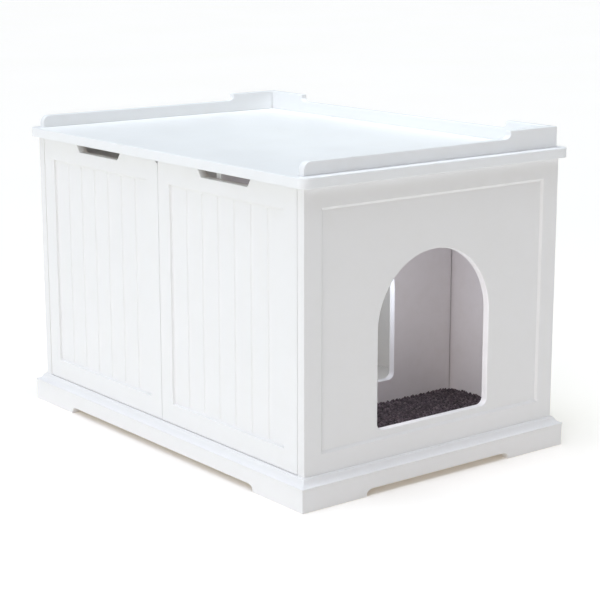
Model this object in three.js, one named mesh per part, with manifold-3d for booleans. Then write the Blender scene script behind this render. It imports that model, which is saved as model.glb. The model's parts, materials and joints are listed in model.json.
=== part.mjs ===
// Cat litter box cabinet: a low painted cabinet with a gallery rail round its top,
// two beadboard doors on the front, an arched entry in the right-hand end and a
// bracket-foot plinth. Inside, a divider with a second arch parts the entry
// compartment, with its mat, from the litter compartment.
//
// Millimetres, +Z up. The doors face -Y and the arched entry faces +X. The origin
// is on the floor, at the middle of the footprint.

import * as THREE from 'three';
import { mergeVertices } from 'three/addons/utils/BufferGeometryUtils.js';
import Module from 'manifold-3d';

const wasm = await Module();
wasm.setup();

// ---------------------------------------------------------------- dimensions

// carcass
const BODY_W = 717;            // across the two end panels
const BODY_D = 492;            // door faces to back
const BOARD = 15;              // end panels, top, bottom and doors
const THIN = 12;               // back, divider and gallery rails
const BASE_TOP = 46;           // top of the bottom board and of the plinth ledge
const SIDE_FOOT = 12;          // lower edge of the end panels, above the plinth cut-outs
const TOP_UNDER = 456;         // underside of the top board
const OVERHANG = 12.5;         // top board beyond the carcass, all round
const TOP_CORNER_R = 15;       // plan radius of the top board's corners

// gallery rail on the top
const RAIL_INSET = 14.7;       // from the top board's edge
const RAIL_LOW = 491;
const RAIL_HIGH = 503;
const RAIL_STEP = 99;          // length of the raised part at each rear corner
const RAIL_FRONT = -245;       // front end of the side rails
const RAIL_FRONT_R = 13;

// end panels
const FIELD_INSET = 30.6;      // edge of the recessed field from the panel's front and back edges
const FIELD_Z0 = 75;
const FIELD_Z1 = 425.6;
const FIELD_DEEP = 3.5;
const FIELD_BEVEL = 4;

// arched entry
const ARCH_HALF = 109;
const ARCH_SILL = 88;
const ARCH_SPRING = 234.5;
const ARCH_CORNER_R = 11;

// divider and its doorway
const DIV_RIGHT = 141.5;       // face towards the entry compartment
const DIV_FRONT = -228.5;
const DIV_BACK = 231.5;
const DOORWAY_SILL = 83;
const DOORWAY_SPRING = 229.5;

// doors
const GAP_SIDE = 0.9;
const GAP_TOP = 1.2;
const GAP_BOTTOM = 0.6;
const GAP_MEET = 1;            // between the two doors
const HINGE_EASE = 1.5;        // eased front edge beside each hinge, to clear the end panel
const DOOR_FIELD_X0 = 30.5;      // recessed field, measured from the cabinet's middle
const DOOR_FIELD_X1 = 312;
const DOOR_FIELD_Z0 = 78;
const DOOR_FIELD_Z1 = 421;
const DOOR_FIELD_DEEP = 4;
const DOOR_FIELD_BEVEL = 3.5;
const BOARDS = 7;              // boards in each beaded field
const GROOVE_W = 3.4;
const GROOVE_DEEP = 2;
const NOTCH_HALF_TOP = 66;
const NOTCH_HALF_BOTTOM = 57.3;
const NOTCH_Z = 441.5;

// door pivots: a steel pin in each end of the door's hinge edge, in a nylon bush
const PIVOT_IN = 14.5;         // pin axis from the door's hinge edge
const PIVOT_BACK = 5.5;        // pin axis behind the door's front face
const PIN_R = 2.5;
const BUSH_BORE_R = 2.6;
const BUSH_R = 4.4;
const BUSH_PROUD_TOP = 0.4;    // bushes stand a little proud of the boards
const BUSH_PROUD_BASE = 0.3;
const FIT_GAP = 0.3;

// plinth
const SKIRT = 13.5;            // outer face of the plinth beyond the carcass
const NOSE = 14.6;
const FOOT_LEN = 118;          // bracket foot, from the plinth's corner
const CUT_H = 10.5;
const CUT_STEP = 3;
const CUT_RX = 11;
const BLOCK = 38;              // glue block in each corner, under the bottom board
const MITRE_GAP = 0.1;

// cam fittings
const CAM_R = 7.5;
const CAM_LEN = 12;
const CAM_DOWN = 20;           // cam centre from the joint with the top board
const CAM_SIDE_IN = 34;        // cam centre from the joint with an end panel

// entry mat
const MAT_X0 = 145.5;
const MAT_X1 = 340.5;
const MAT_Y0 = -220;
const MAT_Y1 = 230.5;
const MAT_T = 6.3;
const MAT_R = 23;

// derived
const HX = BODY_W / 2;
const HY = BODY_D / 2;
const INX = HX - BOARD;        // inner face of the end panels
const TOP_Z = TOP_UNDER + BOARD;
const BACK_IN = HY - THIN;     // inner face of the back
const DOOR_Z0 = BASE_TOP + GAP_BOTTOM;
const DOOR_Z1 = TOP_UNDER - GAP_TOP;
const DOOR_X0 = GAP_MEET / 2;
const DOOR_X1 = INX - GAP_SIDE;
const DOOR_BACK = -HY + BOARD;
const PIVOT_X = DOOR_X1 - PIVOT_IN;
const PIVOT_Y = -HY + PIVOT_BACK;
const DOOR_MID = (DOOR_X0 + DOOR_X1) / 2;

// ---------------------------------------------------------------- materials

const paint = (hex) => new THREE.MeshStandardMaterial({ color: hex, roughness: 0.42, metalness: 0 });
const paintTop = paint(0xf3f6f9);
const paintBody = paint(0xf1f2f3);
const paintInner = paint(0xe9e7e6);
const paintEdge = paint(0xf0f0f0);
const rawBoard = new THREE.MeshStandardMaterial({ color: 0xb79a74, roughness: 0.85, metalness: 0 });
const nylon = new THREE.MeshStandardMaterial({ color: 0xf2f1ec, roughness: 0.5, metalness: 0 });
const steel = new THREE.MeshStandardMaterial({ color: 0xb9bcc0, roughness: 0.35, metalness: 1 });
const zinc = new THREE.MeshStandardMaterial({ color: 0xa9acae, roughness: 0.5, metalness: 1 });
const magnet = new THREE.MeshStandardMaterial({ color: 0x4a4a4d, roughness: 0.6, metalness: 0.6 });
const carpet = new THREE.MeshStandardMaterial({ color: 0x4b444b, roughness: 1, metalness: 0 });

// ---------------------------------------------------------------- helpers

// A closed three.js geometry as a solid that can be joined and cut.
function solid(geometry) {
  let g = geometry.clone();
  g.deleteAttribute('normal');
  g.deleteAttribute('uv');
  g = mergeVertices(g, 1e-4);
  return new wasm.Manifold(new wasm.Mesh({
    numProp: 3,
    vertProperties: Float32Array.from(g.attributes.position.array),
    triVerts: Uint32Array.from(g.index.array),
  }));
}

function toGeometry(body) {
  const m = body.getMesh();
  const g = new THREE.BufferGeometry();
  const n = m.vertProperties.length / m.numProp;
  const pos = new Float32Array(n * 3);
  for (let i = 0; i < n; i++) {
    for (let k = 0; k < 3; k++) pos[i * 3 + k] = m.vertProperties[i * m.numProp + k];
  }
  g.setAttribute('position', new THREE.BufferAttribute(pos, 3));
  g.setIndex(new THREE.BufferAttribute(Uint32Array.from(m.triVerts), 1));
  const flat = g.toNonIndexed();
  flat.computeVertexNormals();
  return flat;
}

// Axis frames for extrusions: a shape drawn in (u, v) and swept along w.
//   'z': u = X, v = Y, w = +Z     'x': u = Y, v = Z, w = +X     'y': u = X, v = Z, w = -Y
const FRAMES = {
  x: [new THREE.Vector3(0, 1, 0), new THREE.Vector3(0, 0, 1), new THREE.Vector3(1, 0, 0)],
  y: [new THREE.Vector3(1, 0, 0), new THREE.Vector3(0, 0, 1), new THREE.Vector3(0, -1, 0)],
  z: [new THREE.Vector3(1, 0, 0), new THREE.Vector3(0, 1, 0), new THREE.Vector3(0, 0, 1)],
};

function sweep(shape, axis, lo, hi, options = {}) {
  const g = new THREE.ExtrudeGeometry(shape, { depth: hi - lo, bevelEnabled: false, curveSegments: 12, ...options });
  const m = new THREE.Matrix4().makeBasis(...FRAMES[axis]);
  if (axis === 'x') m.setPosition(lo, 0, 0);
  if (axis === 'y') m.setPosition(0, hi, 0);
  if (axis === 'z') m.setPosition(0, 0, lo);
  g.applyMatrix4(m);
  return solid(g);
}

function poly(points) {
  return new THREE.Shape(points.map(([a, b]) => new THREE.Vector2(a, b)));
}

function prism(points, axis, lo, hi) {
  return sweep(poly(points), axis, lo, hi);
}

function box(x0, x1, y0, y1, z0, z1) {
  const g = new THREE.BoxGeometry(x1 - x0, y1 - y0, z1 - z0);
  g.translate((x0 + x1) / 2, (y0 + y1) / 2, (z0 + z1) / 2);
  return solid(g);
}

// A turned piece: profile of [radius, height] that starts and ends on the axis,
// stood along an axis vector from a base point.
function turned(profile, base, dir, segments = 20) {
  const g = new THREE.LatheGeometry(profile.map(([r, h]) => new THREE.Vector2(r, h)), segments);
  const q = new THREE.Quaternion().setFromUnitVectors(new THREE.Vector3(0, 1, 0), new THREE.Vector3(...dir));
  g.applyQuaternion(q);
  g.translate(...base);
  return solid(g);
}

function rod(r, length, base, dir, segments = 20) {
  return turned([[0, 0], [r, 0], [r, length], [0, length]], base, dir, segments);
}

// Points of an arc, from angle a0 to a1 in degrees.
function arc(cx, cy, rx, ry, a0, a1, steps) {
  const out = [];
  for (let i = 0; i <= steps; i++) {
    const a = THREE.MathUtils.degToRad(a0 + ((a1 - a0) * i) / steps);
    out.push([cx + rx * Math.cos(a), cy + ry * Math.sin(a)]);
  }
  return out;
}

function roundedRect(x0, x1, y0, y1, r, steps = 6) {
  return [
    ...arc(x1 - r, y0 + r, r, r, -90, 0, steps),
    ...arc(x1 - r, y1 - r, r, r, 0, 90, steps),
    ...arc(x0 + r, y1 - r, r, r, 90, 180, steps),
    ...arc(x0 + r, y0 + r, r, r, 180, 270, steps),
  ];
}

// A recess with sloping edges: full size at the face, smaller by `bevel` at its floor.
// Drawn in (u, v), cut from the face at `face` towards `floor` along the frame's axis.
function recess(axis, u0, u1, v0, v1, face, floor, bevel) {
  const shape = poly([[u0 + bevel, v0 + bevel], [u1 - bevel, v0 + bevel], [u1 - bevel, v1 - bevel], [u0 + bevel, v1 - bevel]]);
  const deep = Math.abs(face - floor);
  const outside = 5;
  const g = new THREE.ExtrudeGeometry(shape, {
    depth: outside, bevelEnabled: true, bevelThickness: deep, bevelSize: bevel, bevelSegments: 1, curveSegments: 1,
  });
  // g runs from w = -deep (small) through w = 0 (full) to w = outside + deep
  const m = new THREE.Matrix4().makeBasis(...FRAMES[axis]);
  if (axis === 'x') m.setPosition(face, 0, 0);
  if (axis === 'y') m.setPosition(0, face, 0);
  g.applyMatrix4(m);
  return solid(g);
}

// The arch outline in (y, z): straight jambs, half-round head, small round corners at the sill.
function archPoints(half, sill, spring, r) {
  return [
    ...arc(half - r, sill + r, r, r, -90, 0, 5),
    ...arc(0, spring, half, half, 0, 180, 32),
    ...arc(-half + r, sill + r, r, r, 180, 270, 5),
  ];
}

const pieces = [];
function piece(name, body, material) {
  const mesh = new THREE.Mesh(toGeometry(body), material);
  mesh.name = name;
  pieces.push(mesh);
  return mesh;
}

// ---------------------------------------------------------------- cam fittings

// A cam pocket, its bolt hole and the two fittings. `centre` is the middle of the
// cam's open face, `into` points from that face into the board, and `reach` points
// from the cam to the joint; `run` is the distance from the cam to the joint.
function camPocket(centre, into) {
  return rod(CAM_R + FIT_GAP, CAM_LEN + FIT_GAP + 1.2, centre.map((c, i) => c - into[i]), into, 16);
}

function boltLine(centre, into) {
  return centre.map((c, i) => c + into[i] * (BOARD / 2));
}

function camBody(centre, into, reach) {
  const face = centre.map((c, i) => c + into[i] * 0.2);
  let cam = rod(CAM_R, CAM_LEN, face, into, 16);
  // cross recess for the screwdriver
  const other = [
    into[1] * reach[2] - into[2] * reach[1],
    into[2] * reach[0] - into[0] * reach[2],
    into[0] * reach[1] - into[1] * reach[0],
  ];
  const bar = (a, b) => {
    const half = [0, 1, 2].map((i) => Math.abs(a[i]) * 4.2 + Math.abs(b[i]) * 0.8 + Math.abs(into[i]) * 2);
    return box(face[0] - half[0], face[0] + half[0], face[1] - half[1], face[1] + half[1], face[2] - half[2], face[2] + half[2]);
  };
  cam = cam.subtract(bar(reach, other)).subtract(bar(other, reach));
  // throat that takes the bolt's head
  const line = boltLine(centre, into);
  cam = cam.subtract(rod(3.9, CAM_R + 4.7, line.map((c, i) => c - reach[i] * 3.2), reach, 12));
  return cam;
}

function camBolt(centre, into, reach, run) {
  const line = boltLine(centre, into);
  const start = line.map((c, i) => c - reach[i] * 2.2);
  const joint = run + 2.2;
  return turned([
    [0, 0], [3.2, 0], [3.2, 2.4], [1.9, 2.4], [1.9, 5.4], [2.6, 6.4], [2.6, joint - 1.2],
    [3.3, joint - 0.6], [3, joint], [3, joint + 8], [1.6, joint + 9.6], [0, joint + 9.6],
  ], start, reach, 12);
}

function boltHole(centre, into, reach, run) {
  const line = boltLine(centre, into);
  return rod(3.8, run + 0.5, line, reach, 12);
}

function threadHole(centre, into, reach, run) {
  const line = boltLine(centre, into);
  return rod(3.8, 10.4, line.map((c, i) => c + reach[i] * run), reach, 12);
}

// top board to end panels: cams low in the panels' inner faces, bolts up into the top
const topCams = [];
for (const sx of [-1, 1]) {
  for (const [tag, y] of [['front', -205], ['rear', 205]]) {
    topCams.push({
      name: `${sx < 0 ? 'left' : 'arch'}_${tag}`, side: sx,
      centre: [sx * INX, y, TOP_UNDER - CAM_DOWN], into: [sx, 0, 0], reach: [0, 0, 1], run: CAM_DOWN,
    });
  }
}
// bottom board to end panels: cams in the board's underside, bolts out into the panels
const baseCams = [];
for (const sx of [-1, 1]) {
  for (const [tag, y] of [['front', -150], ['rear', 150]]) {
    baseCams.push({
      name: `${sx < 0 ? 'left' : 'arch'}_${tag}`, side: sx,
      centre: [sx * (INX - CAM_SIDE_IN), y, BASE_TOP - BOARD], into: [0, 0, 1], reach: [sx, 0, 0], run: CAM_SIDE_IN,
    });
  }
}

// ---------------------------------------------------------------- top board

const pivots = [
  { tag: 'left', x: -PIVOT_X },
  { tag: 'right', x: PIVOT_X },
];
const CATCH_X = 53;            // middle of each magnetic catch
const CATCH_Y0 = -228.2;
const CATCH_Y1 = -214;
const CATCH_EAR_T = 3;

let top = sweep(poly(roundedRect(-HX - OVERHANG, HX + OVERHANG, -HY - OVERHANG, HY + OVERHANG, TOP_CORNER_R, 7)), 'z', TOP_UNDER, TOP_Z);
for (const p of pivots) {
  top = top.subtract(rod(BUSH_R + FIT_GAP, 10.5, [p.x, PIVOT_Y, TOP_UNDER - 0.2], [0, 0, 1], 18));
}
for (const c of topCams) {
  const line = boltLine(c.centre, c.into);
  top = top.subtract(rod(3.8, 10.4, [line[0], line[1], TOP_UNDER - 0.2], [0, 0, 1], 12));
}
for (const sx of [-1, 1]) {
  for (const dx of [-24, 24]) {
    top = top.subtract(rod(1.8, 9.4, [sx * CATCH_X + dx, (CATCH_Y0 + CATCH_Y1) / 2, TOP_UNDER - 0.2], [0, 0, 1], 12));
  }
}
piece('top_panel', top, paintTop);

// ---------------------------------------------------------------- gallery rail

const RX = HX + OVERHANG - RAIL_INSET;       // outer face of the side rails
const RY = HY + OVERHANG - RAIL_INSET;       // outer face of the rear rail

function sideRail(side) {
  const step = RY - RAIL_STEP;
  const points = [
    [RAIL_FRONT, TOP_Z],
    [RY, TOP_Z],
    ...arc(RY - 2, RAIL_HIGH - 2, 2, 2, 0, 90, 3),
    ...arc(step + 1.2, RAIL_HIGH - 1.2, 1.2, 1.2, 90, 180, 2),
    ...arc(step - 12, RAIL_LOW + 7, 12, 7, 0, -90, 8),
    ...arc(RAIL_FRONT + RAIL_FRONT_R, RAIL_LOW - RAIL_FRONT_R, RAIL_FRONT_R, RAIL_FRONT_R, 90, 180, 8),
  ];
  const x0 = side > 0 ? RX - THIN : -RX;
  return prism(points, 'x', x0, x0 + THIN);
}
piece('gallery_rail_left', sideRail(-1), paintTop);
piece('gallery_rail_right', sideRail(1), paintTop);

{
  const inner = RX - THIN - 0.5;
  const step = RX - RAIL_STEP;
  const points = [
    [-inner, TOP_Z], [inner, TOP_Z], [inner, RAIL_HIGH],
    ...arc(step + 1.2, RAIL_HIGH - 1.2, 1.2, 1.2, 90, 180, 2),
    ...arc(step - 12, RAIL_LOW + 7, 12, 7, 0, -90, 8),
    ...arc(-step + 12, RAIL_LOW + 7, 12, 7, 270, 180, 8),
    ...arc(-step - 1.2, RAIL_HIGH - 1.2, 1.2, 1.2, 0, 90, 2),
    [-inner, RAIL_HIGH],
  ];
  piece('gallery_rail_rear', prism(points, 'y', RY - THIN, RY), paintTop);
}

// ---------------------------------------------------------------- end panels

function endPanel(side) {
  const x0 = side > 0 ? INX : -HX;
  let body = box(x0, x0 + BOARD, -HY, HY, SIDE_FOOT, TOP_UNDER);
  const u0 = -HY + FIELD_INSET;
  const u1 = HY - FIELD_INSET;
  let field = recess('x', u0, u1, FIELD_Z0, FIELD_Z1, HX, HX - FIELD_DEEP, FIELD_BEVEL);
  if (side < 0) field = field.mirror([1, 0, 0]);
  body = body.subtract(field);
  for (const c of topCams.filter((k) => k.side === side)) {
    body = body.subtract(camPocket(c.centre, c.into)).subtract(boltHole(c.centre, c.into, c.reach, c.run));
  }
  for (const c of baseCams.filter((k) => k.side === side)) {
    body = body.subtract(threadHole(c.centre, c.into, c.reach, c.run - 0.2));
  }
  if (side > 0) {
    body = body.subtract(prism(archPoints(ARCH_HALF, ARCH_SILL, ARCH_SPRING, ARCH_CORNER_R), 'x', INX - 3, HX + 3));
  }
  return body;
}
piece('side_panel_left', endPanel(-1), paintBody);
piece('side_panel_arch', endPanel(1), paintBody);

// ---------------------------------------------------------------- back and bottom

piece('back_panel', box(-INX, INX, BACK_IN, HY, BASE_TOP, TOP_UNDER), paintInner);

{
  let board = box(-INX, INX, -HY, HY, BASE_TOP - BOARD, BASE_TOP);
  for (const c of baseCams) {
    board = board.subtract(camPocket(c.centre, c.into)).subtract(boltHole(c.centre, c.into, c.reach, c.run));
  }
  for (const p of pivots) {
    board = board.subtract(rod(BUSH_R + FIT_GAP, 10.5, [p.x, PIVOT_Y, BASE_TOP - 10.3], [0, 0, 1], 18));
  }
  piece('bottom_panel', board, paintInner);
}

// ---------------------------------------------------------------- divider

{
  let wall = box(DIV_RIGHT - THIN, DIV_RIGHT, DIV_FRONT, DIV_BACK, BASE_TOP, TOP_UNDER);
  wall = wall.subtract(prism(archPoints(ARCH_HALF, DOORWAY_SILL, DOORWAY_SPRING, ARCH_CORNER_R), 'x', DIV_RIGHT - THIN - 3, DIV_RIGHT + 3));
  piece('divider_panel', wall, paintInner);
}

// ---------------------------------------------------------------- plinth

// Section of the plinth moulding: [distance beyond the carcass, height].
const MOULDING = [
  [0, 0], [SKIRT, 0], [SKIRT, 33.2],
  [NOSE - 0.3, 33.8], [NOSE, 34.4], [NOSE, 35.3], [NOSE - 0.4, 35.9], [NOSE - 1.2, 36.1],
  [11.2, 36.6], [8.9, 37.9], [6.9, 39.8], [5.2, 42.2], [4.4, 44.2],
  [3.2, 44.4], [2.9, BASE_TOP], [0, BASE_TOP],
];

// Outline of the cut-out between two feet, in (along, height).
function footCut(half) {
  return [
    [-half, -4], [half, -4], [half, CUT_STEP],
    ...arc(half - CUT_RX, CUT_STEP, CUT_RX, CUT_H - CUT_STEP, 8, 90, 6),
    ...arc(-half + CUT_RX, CUT_STEP, CUT_RX, CUT_H - CUT_STEP, 90, 172, 6),
    [-half, CUT_STEP],
  ];
}

// One board of the plinth, moulded, mitred at both ends and cut away between its feet.
function plinthBoard(half, otherHalf, cutHalf) {
  // built facing -Y at y = -otherHalf, running along X, and then turned into place
  const shape = poly(MOULDING.map(([d, z]) => [otherHalf + d, z]));
  // 'x' frame draws in (y, z): mirror to face -Y afterwards
  let board = sweep(shape, 'x', -half - 20, half + 20).mirror([0, 1, 0]);
  const reach = 30;
  const mitre = [
    [half - MITRE_GAP, -otherHalf], [half - MITRE_GAP - reach, -otherHalf + reach], [half - MITRE_GAP + reach + 20, -otherHalf + reach],
    [half + reach + 20, -otherHalf - reach], [half - MITRE_GAP + reach, -otherHalf - reach],
  ];
  const cutter = prism(mitre, 'z', -5, BASE_TOP + 5);
  board = board.subtract(cutter).subtract(cutter.mirror([1, 0, 0]));
  board = board.subtract(prism(footCut(cutHalf), 'y', -otherHalf - SKIRT - 5, -otherHalf + 5));
  return board;
}
const CUT_X = HX + SKIRT - FOOT_LEN;
const CUT_Y = HY + SKIRT - FOOT_LEN;
{
  const front = plinthBoard(HX, HY, CUT_X);
  piece('plinth_front', front, paintEdge);
  piece('plinth_back', front.mirror([0, 1, 0]), paintEdge);
  // the side boards are the same board, run along Y
  const side = plinthBoard(HY, HX, CUT_Y).rotate([0, 0, 90]);
  piece('plinth_right', side, paintEdge);
  piece('plinth_left', side.mirror([1, 0, 0]), paintEdge);
}

// glue blocks in the corners, standing on the floor with the feet
for (const [tag, sx, sy] of [
  ['front_left', -1, -1], ['front_right', 1, -1], ['rear_left', -1, 1], ['rear_right', 1, 1],
]) {
  const x = sx * INX;
  const y = sy * HY;
  const points = [[x, y], [x - sx * BLOCK, y], [x - sx * BLOCK, y - sy * 14], [x - sx * 14, y - sy * BLOCK], [x, y - sy * BLOCK]];
  if (sx * sy < 0) points.reverse();
  piece(`corner_block_${tag}`, prism(points, 'z', 0, BASE_TOP - BOARD), rawBoard);
}

// ---------------------------------------------------------------- doors

function door(side) {
  // drawn as the right-hand door, then mirrored for the left
  let body = box(DOOR_X0, DOOR_X1, -HY, DOOR_BACK, DOOR_Z0, DOOR_Z1);
  body = body.subtract(recess('y', DOOR_FIELD_X0, DOOR_FIELD_X1, DOOR_FIELD_Z0, DOOR_FIELD_Z1, -HY, -HY + DOOR_FIELD_DEEP, DOOR_FIELD_BEVEL));
  // beads
  const pitch = (DOOR_FIELD_X1 - DOOR_FIELD_X0) / BOARDS;
  const floorY = -HY + DOOR_FIELD_DEEP;
  for (let i = 1; i < BOARDS; i++) {
    const x = DOOR_FIELD_X0 + pitch * i;
    const v = [
      [x - GROOVE_W / 2 - 0.4, floorY - 0.5], [x + GROOVE_W / 2 + 0.4, floorY - 0.5],
      [x + 0.5, floorY + GROOVE_DEEP], [x - 0.5, floorY + GROOVE_DEEP],
    ];
    body = body.subtract(prism(v, 'z', DOOR_FIELD_Z0 + DOOR_FIELD_BEVEL - 0.3, DOOR_FIELD_Z1 - DOOR_FIELD_BEVEL + 0.3));
  }
  // hand notch in the top edge
  const slope = (NOTCH_HALF_TOP - NOTCH_HALF_BOTTOM) / (DOOR_Z1 - NOTCH_Z);
  const notch = [
    [DOOR_MID - NOTCH_HALF_TOP - slope * 3, DOOR_Z1 + 3],
    [DOOR_MID - NOTCH_HALF_BOTTOM - 2.4, NOTCH_Z + 3.6],
    [DOOR_MID - NOTCH_HALF_BOTTOM - 0.9, NOTCH_Z + 1.4],
    [DOOR_MID - NOTCH_HALF_BOTTOM + 1.4, NOTCH_Z + 0.3],
    [DOOR_MID - NOTCH_HALF_BOTTOM + 4, NOTCH_Z],
    [DOOR_MID + NOTCH_HALF_BOTTOM - 4, NOTCH_Z],
    [DOOR_MID + NOTCH_HALF_BOTTOM - 1.4, NOTCH_Z + 0.3],
    [DOOR_MID + NOTCH_HALF_BOTTOM + 0.9, NOTCH_Z + 1.4],
    [DOOR_MID + NOTCH_HALF_BOTTOM + 2.4, NOTCH_Z + 3.6],
    [DOOR_MID + NOTCH_HALF_TOP + slope * 3, DOOR_Z1 + 3],
  ];
  body = body.subtract(prism(notch, 'y', -HY - 3, DOOR_BACK + 3));
  // pivot holes
  body = body.subtract(rod(PIN_R + FIT_GAP, 13, [PIVOT_X, PIVOT_Y, DOOR_Z1 - 12.5], [0, 0, 1], 16));
  body = body.subtract(rod(PIN_R + FIT_GAP, 13, [PIVOT_X, PIVOT_Y, DOOR_Z0 - 0.5], [0, 0, 1], 16));
  // strike screw hole, blind from the back
  body = body.subtract(rod(1.8, 10, [CATCH_X, DOOR_BACK + 0.5, STRIKE_Z], [0, -1, 0], 12));
  // front edge on the hinge side, eased
  body = body.subtract(prism([
    [DOOR_X1 - HINGE_EASE, -HY - 1], [DOOR_X1 + 1, -HY - 1], [DOOR_X1 + 1, -HY + HINGE_EASE], [DOOR_X1, -HY + HINGE_EASE], [DOOR_X1 - HINGE_EASE, -HY],
  ], 'z', DOOR_Z0 - 1, DOOR_Z1 + 1));
  if (side < 0) {
    // the left door's top meeting corner is clipped
    body = body.subtract(prism([[DOOR_X0 - 1, DOOR_Z1 + 1], [DOOR_X0 - 1, DOOR_Z1 - 7.2], [DOOR_X0, DOOR_Z1 - 7.2], [DOOR_X0 + 9, DOOR_Z1], [DOOR_X0 + 9, DOOR_Z1 + 1]], 'y', -HY - 1, DOOR_BACK + 1));
    return body.mirror([1, 0, 0]);
  }
  body = body.subtract(prism([[DOOR_X0 - 1, DOOR_Z1 + 1], [DOOR_X0 - 1, DOOR_Z1 - 2.6], [DOOR_X0, DOOR_Z1 - 2.6], [DOOR_X0 + 2, DOOR_Z1], [DOOR_X0 + 2, DOOR_Z1 + 1]], 'y', -HY - 1, DOOR_BACK + 1));
  return body;
}
const STRIKE_Z = 446;
piece('door_left', door(-1), paintBody);
piece('door_right', door(1), paintBody);

// ---------------------------------------------------------------- door pivots

const BUSH_BODY = 10;
for (const p of pivots) {
  // upper bush, pushed up into a blind hole in the top board; its bore is open below
  const upFace = TOP_UNDER - BUSH_PROUD_TOP;
  piece(`pivot_bush_${p.tag}_top`, turned([
    [0, BUSH_PROUD_TOP + BUSH_BODY - 1.2], [BUSH_BORE_R, BUSH_PROUD_TOP + BUSH_BODY - 1.2], [BUSH_BORE_R, 0],
    [BUSH_R - 0.3, 0], [BUSH_R, 0.3], [BUSH_R, BUSH_PROUD_TOP + BUSH_BODY], [0, BUSH_PROUD_TOP + BUSH_BODY],
  ], [p.x, PIVOT_Y, upFace], [0, 0, 1], 18), nylon);
  // lower bush, bottomed in a blind hole in the bottom board; the door's weight rides on its rim
  piece(`pivot_bush_${p.tag}_bottom`, turned([
    [0, 0], [BUSH_R, 0], [BUSH_R, BUSH_BODY + BUSH_PROUD_BASE - 0.3], [BUSH_R - 0.3, BUSH_BODY + BUSH_PROUD_BASE],
    [BUSH_BORE_R, BUSH_BODY + BUSH_PROUD_BASE], [BUSH_BORE_R, 1.2], [0, 1.2], [0, 0],
  ], [p.x, PIVOT_Y, BASE_TOP - BUSH_BODY], [0, 0, 1], 18), nylon);
  // pins, fixed in the door
  const pin = [[0, 0], [PIN_R - 0.4, 0], [PIN_R, 0.5], [PIN_R, 20.5], [PIN_R - 0.5, 21.2], [0, 21.2]];
  piece(`pivot_pin_${p.tag}_top`, turned(pin, [p.x, PIVOT_Y, DOOR_Z1 - 12.2], [0, 0, 1], 16), steel);
  piece(`pivot_pin_${p.tag}_bottom`, turned(pin, [p.x, PIVOT_Y, DOOR_Z0 + 12.2], [0, 0, -1], 16), steel);
}

// ---------------------------------------------------------------- magnetic catches

for (const [tag, sx] of [['left', -1], ['right', 1]]) {
  const cx = sx * CATCH_X;
  const cy = (CATCH_Y0 + CATCH_Y1) / 2;
  let shell = box(cx - 19, cx + 19, CATCH_Y0, CATCH_Y1, TOP_UNDER - 14, TOP_UNDER)
    .add(box(cx - 29, cx + 29, CATCH_Y0 + 2, CATCH_Y1, TOP_UNDER - CATCH_EAR_T, TOP_UNDER));
  shell = shell.subtract(box(cx - 15.3, cx + 15.3, CATCH_Y0 - 1, CATCH_Y0 + 10.3, TOP_UNDER - 12.3, TOP_UNDER - 3.7));
  for (const dx of [-24, 24]) {
    shell = shell.subtract(rod(1.8, 6, [cx + dx, cy, TOP_UNDER - 5], [0, 0, 1], 12));
  }
  piece(`catch_housing_${tag}`, shell, nylon);
  // magnet between its two pole plates, standing a little proud of the housing
  const y0 = CATCH_Y0 - 1;
  const z0 = TOP_UNDER - 12;
  piece(`catch_magnet_${tag}`, box(cx - 15, cx + 15, y0, CATCH_Y0 + 10, z0, z0 + 1.6)
    .add(box(cx - 15, cx + 15, y0, CATCH_Y0 + 10, z0 + 6.4, z0 + 8))
    .add(box(cx - 14, cx + 14, y0 + 0.8, CATCH_Y0 + 10, z0 + 1.4, z0 + 6.6)), magnet);
  for (const [k, dx] of [['a', -24], ['b', 24]]) {
    piece(`catch_screw_${tag}_${k}`, turned([
      [0, 0], [2.4, 0], [3.3, 0.8], [3.4, 1.7], [1.5, 1.7], [1.5, 12.4], [0, 13.6],
    ], [cx + dx, cy, TOP_UNDER - CATCH_EAR_T - 1.8], [0, 0, 1], 12)
      .subtract(box(cx + dx - 2, cx + dx + 2, cy - 0.4, cy + 0.4, TOP_UNDER - CATCH_EAR_T - 3, TOP_UNDER - CATCH_EAR_T - 0.9))
      .subtract(box(cx + dx - 0.4, cx + dx + 0.4, cy - 2, cy + 2, TOP_UNDER - CATCH_EAR_T - 3, TOP_UNDER - CATCH_EAR_T - 0.9)), zinc);
  }
  // strike plate on the back of the door, dished round its screw
  const plate = sweep(poly(roundedRect(cx - 17, cx + 17, STRIKE_Z - 6, STRIKE_Z + 6, 2, 3)), 'y', DOOR_BACK, DOOR_BACK + 1.4)
    .subtract(rod(2.1, 4, [cx, DOOR_BACK - 1, STRIKE_Z], [0, 1, 0], 16))
    .subtract(turned([[0, 0], [2.1, 0], [3.9, 1.3], [3.9, 2.5], [0, 2.5]], [cx, DOOR_BACK + 0.1, STRIKE_Z], [0, 1, 0], 16));
  piece(`strike_plate_${tag}`, plate, zinc);
  piece(`strike_screw_${tag}`, turned([
    [0, 0], [3.2, 0], [1.5, 1.2], [1.5, 9], [0, 10],
  ], [cx, DOOR_BACK + 1.35, STRIKE_Z], [0, -1, 0], 12)
    .subtract(box(cx - 1.8, cx + 1.8, DOOR_BACK + 0.7, DOOR_BACK + 3, STRIKE_Z - 0.35, STRIKE_Z + 0.35))
    .subtract(box(cx - 0.35, cx + 0.35, DOOR_BACK + 0.7, DOOR_BACK + 3, STRIKE_Z - 1.8, STRIKE_Z + 1.8)), zinc);
}

// ---------------------------------------------------------------- cams and bolts

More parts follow.
